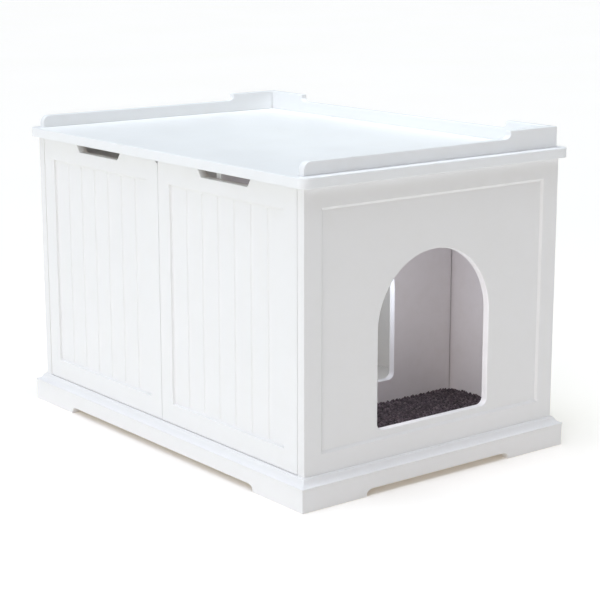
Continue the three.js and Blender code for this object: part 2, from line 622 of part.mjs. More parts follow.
for (const c of topCams) {
  piece(`top_cam_${c.name}`, camBody(c.centre, c.into, c.reach), zinc);
  piece(`top_bolt_${c.name}`, camBolt(c.centre, c.into, c.reach, c.run), steel);
}
for (const c of baseCams) {
  piece(`base_cam_${c.name}`, camBody(c.centre, c.into, c.reach), zinc);
  piece(`base_bolt_${c.name}`, camBolt(c.centre, c.into, c.reach, c.run), steel);
}

// ---------------------------------------------------------------- entry mat

piece('entry_mat', sweep(poly(roundedRect(MAT_X0, MAT_X1, MAT_Y0, MAT_Y1, MAT_R, 8)), 'z', BASE_TOP, BASE_TOP + MAT_T), carpet);

// ---------------------------------------------------------------- assembly

const cabinet = new THREE.Group();
cabinet.name = 'litter_box_cabinet';
for (const mesh of pieces) cabinet.add(mesh);

export default cabinet;
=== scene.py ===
import json
import math
import random

import bmesh
import bpy
from mathutils import Matrix, Quaternion, Vector
from mathutils.geometry import delaunay_2d_cdt

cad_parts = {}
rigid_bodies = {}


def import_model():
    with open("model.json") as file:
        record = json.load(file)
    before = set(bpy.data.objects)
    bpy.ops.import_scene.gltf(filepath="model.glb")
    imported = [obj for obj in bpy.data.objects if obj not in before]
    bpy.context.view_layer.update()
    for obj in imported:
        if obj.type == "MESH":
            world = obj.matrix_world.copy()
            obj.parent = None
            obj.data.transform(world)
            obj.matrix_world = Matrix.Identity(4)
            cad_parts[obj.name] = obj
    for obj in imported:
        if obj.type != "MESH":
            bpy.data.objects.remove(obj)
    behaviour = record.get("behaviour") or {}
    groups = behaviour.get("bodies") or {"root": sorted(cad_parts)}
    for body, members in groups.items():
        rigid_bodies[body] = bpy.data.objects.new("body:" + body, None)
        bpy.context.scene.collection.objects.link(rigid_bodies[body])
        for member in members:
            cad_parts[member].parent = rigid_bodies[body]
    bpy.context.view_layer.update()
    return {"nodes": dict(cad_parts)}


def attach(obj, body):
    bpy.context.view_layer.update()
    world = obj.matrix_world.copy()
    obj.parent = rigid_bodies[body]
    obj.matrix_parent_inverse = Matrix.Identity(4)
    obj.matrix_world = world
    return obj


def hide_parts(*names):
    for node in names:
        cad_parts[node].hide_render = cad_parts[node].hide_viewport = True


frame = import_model()
nodes = frame["nodes"]
scene = bpy.context.scene
MM = 0.001

# ------------------------------------------------------------------ dimensions
HX, HY = 358.5, 246.0           # carcass, half sizes
BOARD, THIN = 15.0, 12.0
BASE_TOP = 46.0
SIDE_FOOT = 12.0
TOP_UNDER, TOP_Z = 456.0, 471.0
OVERHANG, TOP_CORNER_R = 12.5, 15.0
INX = HX - BOARD
BACK_IN = HY - THIN
RX = HX + OVERHANG - 14.7       # outer faces of the gallery rail
RY = HY + OVERHANG - 14.7
RAIL_LOW, RAIL_HIGH, RAIL_STEP, RAIL_FRONT, RAIL_FRONT_R = 491.0, 503.0, 99.0, -245.0, 13.0
FIELD_INSET, FIELD_Z0, FIELD_Z1, FIELD_DEEP, FIELD_BEVEL = 30.6, 75.0, 425.6, 3.5, 4.0
ARCH_HALF, ARCH_SILL, ARCH_SPRING, ARCH_CORNER_R = 109.0, 88.0, 234.5, 11.0
DIV_RIGHT, DIV_FRONT, DIV_BACK = 141.5, -228.5, 231.5
DOORWAY_SILL, DOORWAY_SPRING = 83.0, 229.5
DOOR_X0, DOOR_X1, DOOR_Z0, DOOR_Z1 = 0.5, 342.6, 46.6, 454.8
DOOR_BACK = -231.0
DOOR_MID = (DOOR_X0 + DOOR_X1) / 2
DF_X0, DF_X1, DF_Z0, DF_Z1, DF_DEEP, DF_BEVEL = 30.5, 312.0, 78.0, 421.0, 4.0, 3.5
BOARDS = 7
NOTCH_TOP, NOTCH_BOTTOM, NOTCH_Z = 66.0, 57.3, 441.5
PIVOT_X, PIVOT_Y = 328.1, -240.5
SKIRT, NOSE, FOOT_LEN, CUT_H, CUT_STEP, CUT_RX = 13.5, 14.6, 118.0, 10.5, 3.0, 11.0
CATCH_X, CATCH_Y0, CATCH_Y1, STRIKE_Z = 53.0, -228.2, -214.0, 446.0
MAT_X0, MAT_X1, MAT_Y0, MAT_Y1, MAT_T, MAT_R = 145.5, 340.5, -220.0, 230.5, 6.3, 23.0


# ------------------------------------------------------------------ node helpers
def new_material(name):
    mat = bpy.data.materials.new(name)
    mat.use_nodes = True
    nt = mat.node_tree
    nt.nodes.clear()
    out = nt.nodes.new("ShaderNodeOutputMaterial")
    bsdf = nt.nodes.new("ShaderNodeBsdfPrincipled")
    nt.links.new(bsdf.outputs["BSDF"], out.inputs["Surface"])
    coords = nt.nodes.new("ShaderNodeTexCoord").outputs["Object"]
    return mat, nt, bsdf, coords


def noise(nt, coords, scale, detail=3.0, rough=0.5, distortion=0.0, stretch=None, seed=0.0):
    if stretch is not None or seed:
        m = nt.nodes.new("ShaderNodeMapping")
        nt.links.new(coords, m.inputs["Vector"])
        m.inputs["Scale"].default_value = stretch or (1, 1, 1)
        m.inputs["Location"].default_value = (seed, seed * 0.7, seed * 1.3)
        coords = m.outputs["Vector"]
    n = nt.nodes.new("ShaderNodeTexNoise")
    nt.links.new(coords, n.inputs["Vector"])
    n.inputs["Scale"].default_value = scale
    n.inputs["Detail"].default_value = detail
    n.inputs["Roughness"].default_value = rough
    n.inputs["Distortion"].default_value = distortion
    return n.outputs["Fac"]


def voronoi(nt, coords, scale, feature="F1", randomness=1.0):
    v = nt.nodes.new("ShaderNodeTexVoronoi")
    v.feature = feature
    nt.links.new(coords, v.inputs["Vector"])
    v.inputs["Scale"].default_value = scale
    v.inputs["Randomness"].default_value = randomness
    return v


def spread(nt, fac, lo, hi, to_lo=0.0, to_hi=1.0, smooth=False):
    m = nt.nodes.new("ShaderNodeMapRange")
    if smooth:
        m.interpolation_type = "SMOOTHSTEP"
    nt.links.new(fac, m.inputs["Value"])
    m.inputs["From Min"].default_value = lo
    m.inputs["From Max"].default_value = hi
    m.inputs["To Min"].default_value = to_lo
    m.inputs["To Max"].default_value = to_hi
    return m.outputs["Result"]


def calc(nt, op, a, b=None, clamp=False):
    m = nt.nodes.new("ShaderNodeMath")
    m.operation = op
    m.use_clamp = clamp
    for i, x in enumerate((a, b)):
        if x is None:
            continue
        if isinstance(x, (int, float)):
            m.inputs[i].default_value = x
        else:
            nt.links.new(x, m.inputs[i])
    return m.outputs["Value"]


def blend_colour(nt, fac, a, b):
    m = nt.nodes.new("ShaderNodeMix")
    m.data_type = "RGBA"
    for socket, x in ((m.inputs["Factor"], fac), (m.inputs[6], a), (m.inputs[7], b)):
        if isinstance(x, (int, float)):
            socket.default_value = x
        elif isinstance(x, tuple):
            socket.default_value = (*x, 1.0)
        else:
            nt.links.new(x, socket)
    return m.outputs[2]


def attribute(nt, name):
    a = nt.nodes.new("ShaderNodeAttribute")
    a.attribute_name = name
    return a.outputs["Fac"]


def bump(nt, height, distance, strength=1.0, normal=None):
    b = nt.nodes.new("ShaderNodeBump")
    b.inputs["Distance"].default_value = distance
    b.inputs["Strength"].default_value = strength
    nt.links.new(height, b.inputs["Height"])
    if normal is not None:
        nt.links.new(normal, b.inputs["Normal"])
    return b.outputs["Normal"]


# ------------------------------------------------------------------ materials
def satin_paint(name, colour, warm, rough=0.36, seed=0.0, peel=1.0):
    """Sprayed satin paint over fibreboard: faint tonal drift, fine orange peel, long low
    waves, duller and slightly furry where a cutter has opened the board, rubbed in spots on the
    handled edges, and painted shade: a slightly darker, warmer tone in the cut lines and a darker one inside."""
    mat, nt, bsdf, co = new_material(name)
    link = nt.links.new
    drift = noise(nt, co, 5.0, 3.0, 0.55, seed=seed)
    cloud = noise(nt, co, 38.0, 4.0, 0.6, seed=seed + 3.1)
    base = blend_colour(nt, spread(nt, drift, 0.35, 0.68), colour, tuple(c * 0.985 for c in colour))
    base = blend_colour(nt, spread(nt, cloud, 0.45, 0.75, 0.0, 0.30), base, warm)
    # painted shade: inside the cabinet the paint is darker, and darker and browner still in the litter compartment,
    # with darker mottling
    sep = nt.nodes.new("ShaderNodeSeparateXYZ")
    link(co, sep.inputs["Vector"])
    inside_shade = blend_colour(nt, spread(nt, sep.outputs["X"], 0.129, 0.134), (0.735, 0.700, 0.655), (0.790, 0.766, 0.772))
    mottle = noise(nt, co, 55.0, 4.0, 0.6, seed=seed + 8.0)
    inside_shade = blend_colour(nt, spread(nt, mottle, 0.45, 0.75, 0.0, 0.22), inside_shade, (0.68, 0.65, 0.62))
    base = blend_colour(nt, attribute(nt, "inner"), base, inside_shade)
    # cut surfaces a little darker and warmer, painted shade in grooves, recess walls and holes; and bare board where
    # the paint is thin
    cut = attribute(nt, "cut")
    base = blend_colour(nt, calc(nt, "MULTIPLY", cut, 0.25), base, warm)
    fibre = noise(nt, co, 900.0, 4.0, 0.65)
    board = blend_colour(nt, spread(nt, fibre, 0.35, 0.7), (0.47, 0.40, 0.32), (0.60, 0.53, 0.45))
    base = blend_colour(nt, calc(nt, "MULTIPLY", attribute(nt, "bare"), 0.70), base, board)
    # rubbed edges: small uneven spots
    wear = attribute(nt, "wear")
    spots = noise(nt, co, 210.0, 5.0, 0.7, seed=seed + 9.0)
    patch = noise(nt, co, 17.0, 2.0, 0.5, seed=seed + 5.0)
    rubbed = calc(nt, "MULTIPLY", spread(nt, spots, 0.56, 0.70), spread(nt, patch, 0.50, 0.66))
    rubbed = calc(nt, "MULTIPLY", rubbed, wear, clamp=True)
    base = blend_colour(nt, calc(nt, "MULTIPLY", rubbed, 0.42), base, (0.60, 0.54, 0.46))
    link(base, bsdf.inputs["Base Color"])
    # roughness
    hazy = noise(nt, co, 11.0, 4.0, 0.65, seed=seed + 2.2)
    fine = noise(nt, co, 340.0, 2.0, 0.5)
    r = spread(nt, hazy, 0.3, 0.7, rough - 0.045, rough + 0.05)
    r = calc(nt, "ADD", r, spread(nt, fine, 0.3, 0.7, -0.02, 0.02))
    r = calc(nt, "ADD", r, calc(nt, "MULTIPLY", cut, 0.10))
    r = calc(nt, "ADD", r, calc(nt, "MULTIPLY", rubbed, 0.16))
    link(r, bsdf.inputs["Roughness"])
    # relief
    wave = noise(nt, co, 24.0, 2.0, 0.4, seed=seed + 4.0)
    n = bump(nt, wave, 0.00010 * peel)
    orange = noise(nt, co, 620.0, 2.0, 0.45)
    n = bump(nt, orange, 0.000022 * peel, 1.0, n)
    grain = noise(nt, co, 2600.0, 2.0, 0.6)
    n = bump(nt, calc(nt, "MULTIPLY", grain, calc(nt, "ADD", calc(nt, "MULTIPLY", cut, 0.9), 0.10)), 0.00003, 1.0, n)
    link(n, bsdf.inputs["Normal"])
    bsdf.inputs["IOR"].default_value = 1.48
    return mat


def sawn_softwood(name, axis):
    """Bare sawn softwood: growth rings along one axis, saw marks across, darker pores."""
    mat, nt, bsdf, co = new_material(name)
    link = nt.links.new
    m = nt.nodes.new("ShaderNodeMapping")
    link(co, m.inputs["Vector"])
    stretch = [14.0, 14.0, 14.0]
    stretch[axis] = 1.2
    m.inputs["Scale"].default_value = stretch
    ring = nt.nodes.new("ShaderNodeTexWave")
    ring.wave_type = "RINGS"
    ring.rings_direction = "XYZ"[axis]
    link(m.outputs["Vector"], ring.inputs["Vector"])
    ring.inputs["Scale"].default_value = 2.6
    ring.inputs["Distortion"].default_value = 3.2
    ring.inputs["Detail"].default_value = 3.0
    ring.inputs["Detail Scale"].default_value = 1.2
    early, late = (0.66, 0.49, 0.31), (0.43, 0.27, 0.14)
    base = blend_colour(nt, spread(nt, ring.outputs["Fac"], 0.35, 0.95, 0.0, 0.8), early, late)
    fibre_scale = [900.0, 900.0, 900.0]
    fibre_scale[axis] = 26.0
    fibre = noise(nt, co, 1.0, 4.0, 0.6, stretch=tuple(fibre_scale))
    base = blend_colour(nt, spread(nt, fibre, 0.42, 0.7, 0.0, 0.45), base, (0.36, 0.24, 0.14))
    link(base, bsdf.inputs["Base Color"])
    link(spread(nt, fibre, 0.3, 0.7, 0.68, 0.9), bsdf.inputs["Roughness"])
    saw = nt.nodes.new("ShaderNodeTexWave")
    link(co, saw.inputs["Vector"])
    saw.bands_direction = "DIAGONAL"
    saw.inputs["Scale"].default_value = 190.0
    saw.inputs["Distortion"].default_value = 2.0
    n = bump(nt, fibre, 0.00025)
    n = bump(nt, saw.outputs["Fac"], 0.00008, 1.0, n)
    link(n, bsdf.inputs["Normal"])
    return mat


def moulded_nylon(name, colour):
    mat, nt, bsdf, co = new_material(name)
    link = nt.links.new
    cloud = noise(nt, co, 60.0, 3.0, 0.6)
    grime = noise(nt, co, 300.0, 4.0, 0.65)
    base = blend_colour(nt, spread(nt, cloud, 0.4, 0.7), colour, tuple(c * 0.93 for c in colour))
    base = blend_colour(nt, spread(nt, grime, 0.60, 0.78, 0.0, 0.30), base, (0.50, 0.47, 0.42))
    link(base, bsdf.inputs["Base Color"])
    link(spread(nt, grime, 0.3, 0.7, 0.38, 0.55), bsdf.inputs["Roughness"])
    spark = voronoi(nt, co, 1500.0)
    link(bump(nt, spark.outputs["Distance"], 0.00003), bsdf.inputs["Normal"])
    bsdf.inputs["Subsurface Weight"].default_value = 0.12
    bsdf.inputs["Subsurface Radius"].default_value = (0.002, 0.0018, 0.0015)
    bsdf.inputs["IOR"].default_value = 1.53
    return mat


def turned_steel(name):
    """Bright bar with lathe rings and a thin film of oil."""
    mat, nt, bsdf, co = new_material(name)
    link = nt.links.new
    rings = noise(nt, co, 1.0, 3.0, 0.6, stretch=(60.0, 60.0, 4200.0))
    film = noise(nt, co, 160.0, 3.0, 0.6)
    base = blend_colour(nt, spread(nt, film, 0.4, 0.7), (0.62, 0.63, 0.65), (0.46, 0.45, 0.44))
    link(base, bsdf.inputs["Base Color"])
    bsdf.inputs["Metallic"].default_value = 1.0
    r = spread(nt, rings, 0.3, 0.7, 0.20, 0.36)
    link(calc(nt, "ADD", r, spread(nt, film, 0.4, 0.7, 0.0, 0.10)), bsdf.inputs["Roughness"])
    link(bump(nt, rings, 0.00002), bsdf.inputs["Normal"])
    return mat


def zinc_plate(name, cast=0.0):
    """Dull zinc plate: pale spangle, scratches from the driver and, on castings, a sandy skin."""
    mat, nt, bsdf, co = new_material(name)
    link = nt.links.new
    cell = voronoi(nt, co, 420.0, "SMOOTH_F1")
    cloud = noise(nt, co, 220.0, 4.0, 0.65)
    scratch = noise(nt, co, 1.0, 2.0, 0.5, stretch=(2400.0, 180.0, 900.0))
    base = blend_colour(nt, spread(nt, cloud, 0.35, 0.7), (0.60, 0.61, 0.62), (0.42, 0.43, 0.44))
    base = blend_colour(nt, spread(nt, cell.outputs["Distance"], 0.1, 0.6, 0.0, 0.3), base, (0.68, 0.68, 0.66))
    link(base, bsdf.inputs["Base Color"])
    bsdf.inputs["Metallic"].default_value = 1.0
    r = spread(nt, cloud, 0.3, 0.7, 0.34, 0.52)
    link(calc(nt, "SUBTRACT", r, spread(nt, scratch, 0.60, 0.68, 0.0, 0.14)), bsdf.inputs["Roughness"])
    n = bump(nt, cloud, 0.00002 + 0.00006 * cast)
    n = bump(nt, scratch, 0.000012, 1.0, n)
    link(n, bsdf.inputs["Normal"])
    return mat


def ferrite(name):
    mat, nt, bsdf, co = new_material(name)
    link = nt.links.new
    grain = noise(nt, co, 1400.0, 4.0, 0.7)
    cloud = noise(nt, co, 180.0, 3.0, 0.6)
    base = blend_colour(nt, spread(nt, grain, 0.35, 0.7), (0.030, 0.030, 0.033), (0.085, 0.082, 0.080))
    base = blend_colour(nt, spread(nt, cloud, 0.5, 0.75, 0.0, 0.4), base, (0.14, 0.13, 0.12))
    link(base, bsdf.inputs["Base Color"])
    link(spread(nt, grain, 0.3, 0.7, 0.45, 0.70), bsdf.inputs["Roughness"])
    link(bump(nt, grain, 0.00005), bsdf.inputs["Normal"])
    return mat


def loop_yarn(name):
    """Solution-dyed charcoal yarn: every loop its own tone, twisted plies and fine fibre."""
    mat, nt, bsdf, co = new_material(name)
    link = nt.links.new
    tone = attribute(nt, "tone")
    height = attribute(nt, "rise")
    patch = noise(nt, co, 26.0, 3.0, 0.6)
    ply = noise(nt, co, 1500.0, 3.0, 0.6)
    dark, light = (0.034, 0.027, 0.031), (0.250, 0.195, 0.215)
    base = blend_colour(nt, calc(nt, "POWER", tone, 1.5), dark, light)
    base = blend_colour(nt, spread(nt, ply, 0.35, 0.68, 0.0, 0.45), base, (0.125, 0.10, 0.115))
    base = blend_colour(nt, spread(nt, patch, 0.45, 0.75, 0.0, 0.35), base, (0.040, 0.033, 0.040))
    # painted shade: the loops darken to near black towards their roots, down in the pile
    base = blend_colour(nt, spread(nt, height, 0.0, 0.75, 0.75, 0.0), base, (0.010, 0.009, 0.010))
    link(base, bsdf.inputs["Base Color"])
    link(spread(nt, ply, 0.3, 0.7, 0.80, 0.97), bsdf.inputs["Roughness"])
    bsdf.inputs["Sheen Weight"].default_value = 0.10
    bsdf.inputs["Sheen Roughness"].default_value = 0.5
    bsdf.inputs["Specular IOR Level"].default_value = 0.25
    link(bump(nt, ply, 0.00016), bsdf.inputs["Normal"])
    return mat


def backing_rubber(name):
    mat, nt, bsdf, co = new_material(name)
    link = nt.links.new
    weave = voronoi(nt, co, 480.0)
    cloud = noise(nt, co, 45.0, 3.0, 0.6)
    base = blend_colour(nt, spread(nt, cloud, 0.4, 0.7), (0.018, 0.016, 0.018), (0.034, 0.030, 0.032))
    base = blend_colour(nt, spread(nt, weave.outputs["Distance"], 0.2, 0.7, 0.0, 0.4), base, (0.010, 0.009, 0.010))
    link(base, bsdf.inputs["Base Color"])
    link(spread(nt, cloud, 0.3, 0.7, 0.70, 0.88), bsdf.inputs["Roughness"])
    link(bump(nt, weave.outputs["Distance"], 0.00015), bsdf.inputs["Normal"])
    return mat


# one white paint in five copies: the top board's and rails' copy is brighter and bluer, painted cool light from above;
# the ends' and inner boards' copies are a little darker, painted shade
TOP_PAINT = satin_paint("paint_top", (0.872, 0.886, 0.900), (0.84, 0.84, 0.83), rough=0.40, seed=1.0)
BODY_PAINT = satin_paint("paint_panels", (0.862, 0.864, 0.868), (0.84, 0.835, 0.82), rough=0.37, seed=4.0)
END_PAINT = satin_paint("paint_ends", (0.855, 0.853, 0.856), (0.83, 0.825, 0.81), rough=0.40, seed=6.0)
INNER_PAINT = satin_paint("paint_inner", (0.845, 0.845, 0.845), (0.82, 0.815, 0.80), rough=0.44, seed=7.0, peel=1.3)
PLINTH_PAINT = satin_paint("paint_plinth", (0.862, 0.862, 0.866), (0.835, 0.83, 0.82), rough=0.40, seed=11.0)
BLOCK_WOOD = sawn_softwood("sawn_softwood", 2)
NYLON = moulded_nylon("moulded_nylon", (0.80, 0.79, 0.75))
CATCH_NYLON = moulded_nylon("catch_nylon", (0.83, 0.83, 0.81))
STEEL = turned_steel("turned_steel")
ZINC = zinc_plate("zinc_plate")
ZINC_CAST = zinc_plate("zinc_cast", cast=1.0)
MAGNET = ferrite("ferrite")
YARN = loop_yarn("loop_yarn")
RUBBER = backing_rubber("backing_rubber")


# ------------------------------------------------------------------ mesh helpers
def arc(cx, cy, rx, ry, a0, a1, steps):
    return [
        (cx + rx * math.cos(math.radians(a0 + (a1 - a0) * i / steps)),
         cy + ry * math.sin(math.radians(a0 + (a1 - a0) * i / steps)))
        for i in range(steps + 1)
    ]


def rounded_rect(x0, x1, y0, y1, r, steps=8):
    return (arc(x1 - r, y0 + r, r, r, -90, 0, steps) + arc(x1 - r, y1 - r, r, r, 0, 90, steps)
            + arc(x0 + r, y1 - r, r, r, 90, 180, steps) + arc(x0 + r, y0 + r, r, r, 180, 270, steps))


def rect(x0, x1, y0, y1):
    return [(x0, y0), (x1, y0), (x1, y1), (x0, y1)]


def circle(cx, cy, r, n):
    return [(cx + r * math.cos(2 * math.pi * i / n), cy + r * math.sin(2 * math.pi * i / n)) for i in range(n)]


def arch(half, sill, spring, r):
    pts = arc(half - r, sill + r, r, r, -90, 0, 8)
    pts += arc(0, spring, half, half, 0, 180, 96)
    pts += arc(-half + r, sill + r, r, r, 180, 270, 8)
    return pts


def inward(pts, d):
    """A closed loop moved to its own left by d, mitred at its corners."""
    out = []
    n = len(pts)
    for i in range(n):
        ax, ay = pts[i - 1]
        bx, by = pts[i]
        cx, cy = pts[(i + 1) % n]
        lu, lv = math.hypot(bx - ax, by - ay), math.hypot(cx - bx, cy - by)
        n1 = (-(by - ay) / lu, (bx - ax) / lu)
        n2 = (-(cy - by) / lv, (cx - bx) / lv)
        k = 1 + n1[0] * n2[0] + n1[1] * n2[1]
        out.append((bx + (n1[0] + n2[0]) * d / k, by + (n1[1] + n2[1]) * d / k))
    return out


def inside(p, loop):
    x, y = p
    hit = False
    n = len(loop)
    for i in range(n):
        ax, ay = loop[i - 1]
        bx, by = loop[i]
        if (ay > y) != (by > y) and x < (bx - ax) * (y - ay) / (by - ay) + ax:
            hit = not hit
    return hit


class Ring:
    def __init__(self, ids, flat):
        self.ids = ids
        self.flat = flat


class Shape:
    """A closed mesh put together from rings of points, strips between them and flat caps."""

    def __init__(self, name, place):
        self.name = name
        self.place = place        # (u, v, w) in millimetres to a point
        self.points = []
        self.wear = []
        self.cut = []
        self.faces = []

    def ring(self, flat, w, wear=0.0, cut=0.0):
        first = len(self.points)
        for i, (u, v) in enumerate(flat):
            self.points.append(self.place(u, v, w[i] if isinstance(w, list) else w))
            self.wear.append(wear)
            self.cut.append(cut)
        return Ring(list(range(first, first + len(flat))), list(flat))

    def strip(self, a, b, closed=True):
        n = len(a.ids)
        for i in range(n if closed else n - 1):
            j = (i + 1) % n
            self.faces.append((a.ids[i], a.ids[j], b.ids[j], b.ids[i]))

    def lofted(self, rings):
        for a, b in zip(rings, rings[1:]):
            self.strip(a, b)
        return rings

    def cap(self, outer, holes=()):
        flat = [Vector(p) for r in (outer, *holes) for p in r.flat]
        ids = [i for r in (outer, *holes) for i in r.ids]
        edges, at = [], 0
        for r in (outer, *holes):
            n = len(r.flat)
            edges += [(at + i, at + (i + 1) % n) for i in range(n)]
            at += n
        pts, _, tris, source, _, _ = delaunay_2d_cdt(flat, edges, [], 0, 1e-7)
        back = {}
        for k, olds in enumerate(source):
            back[k] = ids[olds[0]]
        for t in tris:
            c = sum((pts[k] for k in t), Vector((0, 0))) / 3
            if inside(c, outer.flat) and not any(inside(c, h.flat) for h in holes):
                self.faces.append(tuple(back[k] for k in t))

    def wall(self, loop, w0, w1, r0=0.0, r1=0.0, seg=4, cut=0.0, wear=1.0, shaper=None):
        """Rings of a board's edge from the face at w0 to the face at w1, both edges rounded."""
        s = 1.0 if w1 > w0 else -1.0
        steps = []
        if r0 > 0:
            for i in range(seg + 1):
                t = math.radians(90.0 * i / seg)
                steps.append((r0 * (1 - math.sin(t)), w0 + s * r0 * (1 - math.cos(t)), wear * math.sin(2 * t)))
        else:
            steps.append((0.0, w0, 0.0))
        if r1 > 0:
            for i in range(seg + 1):
                t = math.radians(90.0 * (1 - i / seg))
                steps.append((r1 * (1 - math.sin(t)), w1 - s * r1 * (1 - math.cos(t)), wear * math.sin(2 * t)))
        else:
            steps.append((0.0, w1, 0.0))
        rings = []
        for off, w, k in steps:
            pts = inward(loop, off) if off > 1e-9 else list(loop)
            if shaper:
                pts = shaper(loop, pts, off)
            rings.append(self.ring(pts, w, wear=k, cut=cut))
        return self.lofted(rings)

    def pocket(self, cx, cy, r, w_face, w_floor, n=40, lip=0.25):
        """A blind round hole; gives the ring at the face, to be a hole in that cap."""
        s = 1.0 if w_floor > w_face else -1.0
        loop = circle(cx, cy, r, n)[::-1]
        rings = [self.ring(inward(loop, lip), w_face, cut=0.6), self.ring(loop, w_face + s * lip, cut=0.6)] if lip else [self.ring(loop, w_face, cut=0.6)]
        rings.append(self.ring(loop, w_floor, cut=1.0))
        self.lofted(rings)
        self.cap(Ring(rings[-1].ids, rings[-1].flat))
        return rings[0]


PIECES = {}


def solid_object(name, points, faces, materials, body, stands_for=(), slot=None, attrs=None, sharp=40.0,
                 faces_material=None, weighted=True, closed=True, smooth=True):
    me = bpy.data.meshes.new(name)
    me.from_pydata([(x * MM, y * MM, z * MM) for x, y, z in points], [], faces)
    for key, values in (attrs or {}).items():
        layer = me.attributes.new(key, "FLOAT", "POINT")
        layer.data.foreach_set("value", values)
    if faces_material:
        me.polygons.foreach_set("material_index", faces_material)
    bm = bmesh.new()
    bm.from_mesh(me)
    bmesh.ops.remove_doubles(bm, verts=bm.verts, dist=2e-6)
    bmesh.ops.dissolve_degenerate(bm, edges=bm.edges, dist=1e-6)
    if closed:
        bmesh.ops.recalc_face_normals(bm, faces=bm.faces)
        if bm.calc_volume(signed=True) < 0:
            bmesh.ops.reverse_faces(bm, faces=bm.faces)
        loose = [e for e in bm.edges if len(e.link_faces) != 2]
        if loose:
            print("OPEN EDGES", name, len(loose), [tuple(round(c * 1000, 1) for c in e.verts[0].co) for e in loose[:4]])
    bm.to_mesh(me)
    bm.free()
    me.polygons.foreach_set("use_smooth", [smooth] * len(me.polygons))
    if smooth:
        me.set_sharp_from_angle(angle=math.radians(sharp))
    for m in materials if isinstance(materials, (list, tuple)) else [materials]:
        me.materials.append(m)
    me.update()
    obj = bpy.data.objects.new(name, me)
    scene.collection.objects.link(obj)
    if weighted and smooth:
        mod = obj.modifiers.new("even_faces", "WEIGHTED_NORMAL")
        mod.keep_sharp = True
        mod.weight = 80
    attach(obj, body)
    if stands_for:
        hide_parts(*stands_for)
    PIECES[name] = obj
    return obj


def finish_shape(s, material, body, stands_for, slot, inner=None, bare=None, **kw):
    attrs = {"wear": s.wear, "cut": s.cut}
    attrs["inner"] = [float(inner(p)) if inner else 0.0 for p in s.points]
    attrs["bare"] = [float(bare(p)) if bare else 0.0 for p in s.points]
    return solid_object(s.name, s.points, s.faces, material, body, stands_for, slot, attrs=attrs, **kw)


def along_x(sign=1.0):
    return lambda u, v, w: (w * sign, u, v)


def along_y(sign=1.0):
    return lambda u, v, w: (u * sign, w, v)


def along_z(u, v, w):
    return (u, v, w)


def turned(name, profile, base, axis, material, body, stands_for=(), slot=None, seg=40, sharp=35.0, extra=None):
    """A turned piece: [(radius, height)] from axis to axis, stood on base along axis."""
    q = Vector((0, 0, 1)).rotation_difference(Vector(axis))
    pts, faces, rows = [], [], []
    for r, h in profile:
        if r < 1e-6:
            rows.append([len(pts)])
            pts.append(Vector((0, 0, h)))
        else:
            rows.append(list(range(len(pts), len(pts) + seg)))
            pts += [Vector((r * math.cos(2 * math.pi * i / seg), r * math.sin(2 * math.pi * i / seg), h)) for i in range(seg)]
    for a, b in zip(rows, rows[1:]):
        if len(a) == 1 and len(b) == 1:
            continue
        for i in range(seg):
            j = (i + 1) % seg
            if len(a) == 1:
                faces.append((a[0], b[j], b[i]))
            elif len(b) == 1:
                faces.append((a[i], a[j], b[0]))
            else:
                faces.append((a[i], a[j], b[j], b[i]))
    pts = [tuple(q @ p + Vector(base)) for p in pts]
    n = len(pts)
    return solid_object(name, pts, faces, material, body, stands_for, slot, attrs={"wear": [0.0] * n, "cut": [0.0] * n}, sharp=sharp)


def carved(obj, cutters):
    """Cuts plain blocks (centre, half size) out of an object, for good."""
    for k, (pts, faces) in enumerate(cutters):
        me = bpy.data.meshes.new("tool")
        me.from_pydata([(x * MM, y * MM, z * MM) for x, y, z in pts], [], faces)
        bm = bmesh.new()
        bm.from_mesh(me)
        bmesh.ops.recalc_face_normals(bm, faces=bm.faces)
        bm.to_mesh(me)
        bm.free()
        tool = bpy.data.objects.new("tool", me)
        scene.collection.objects.link(tool)
        mod = obj.modifiers.new("cut", "BOOLEAN")
        mod.operation = "DIFFERENCE"
        mod.solver = "EXACT"
        mod.object = tool
        while obj.modifiers[0] != mod:
            bpy.context.view_layer.objects.active = obj
            obj.modifiers.move(obj.modifiers.find(mod.name), 0)
        with bpy.context.temp_override(object=obj, active_object=obj, selected_objects=[obj]):
            bpy.ops.object.modifier_apply(modifier=mod.name)
        bpy.data.objects.remove(tool)
        bpy.data.meshes.remove(me)
    obj.data.set_sharp_from_angle(angle=math.radians(35))
    return obj


def block(centre, half):
    x, y, z = centre
    a, b, c = half
    pts = [(x + i * a, y + j * b, z + k * c) for i in (-1, 1) for j in (-1, 1) for k in (-1, 1)]
    faces = [(0, 1, 3, 2), (4, 6, 7, 5), (0, 4, 5, 1), (2, 3, 7, 6), (0, 2, 6, 4), (1, 5, 7, 3)]
    return pts, faces


# ------------------------------------------------------------------ top board
def make_top():
    s = Shape("top_board", along_z)
    outline = rounded_rect(-HX - OVERHANG, HX + OVERHANG, -HY - OVERHANG, HY + OVERHANG, TOP_CORNER_R, 14)
    rings = s.wall(outline, TOP_UNDER, TOP_Z, 0.6, 1.8, seg=5)
    holes = []
    for sx in (-1, 1):
        holes.append(s.pocket(sx * PIVOT_X, PIVOT_Y, 4.7, TOP_UNDER, TOP_UNDER + 10.3))
        for y in (-205.0, 205.0):
            holes.append(s.pocket(sx * (INX + BOARD / 2), y, 3.8, TOP_UNDER, TOP_UNDER + 10.2, 24))
        for dx in (-24.0, 24.0):
            holes.append(s.pocket(sx * CATCH_X + dx, (CATCH_Y0 + CATCH_Y1) / 2, 1.8, TOP_UNDER, TOP_UNDER + 9.2, 20))
    s.cap(rings[0], holes)
    s.cap(rings[-1])
    finish_shape(s, TOP_PAINT, "cabinet", ["top_panel"], "paint_top")


make_top()


# ------------------------------------------------------------------ gallery rail
def seated(loop, pts, off):
    """Keeps the lower edge of a rail on the board, with just a hairline of relief."""
    out = []
    for (u0, v0), (u, v) in zip(loop, pts):
        out.append((u, v0 + 0.16 * min(off, 1.6)) if abs(v0 - TOP_Z) < 1e-6 else (u, v))
    return out


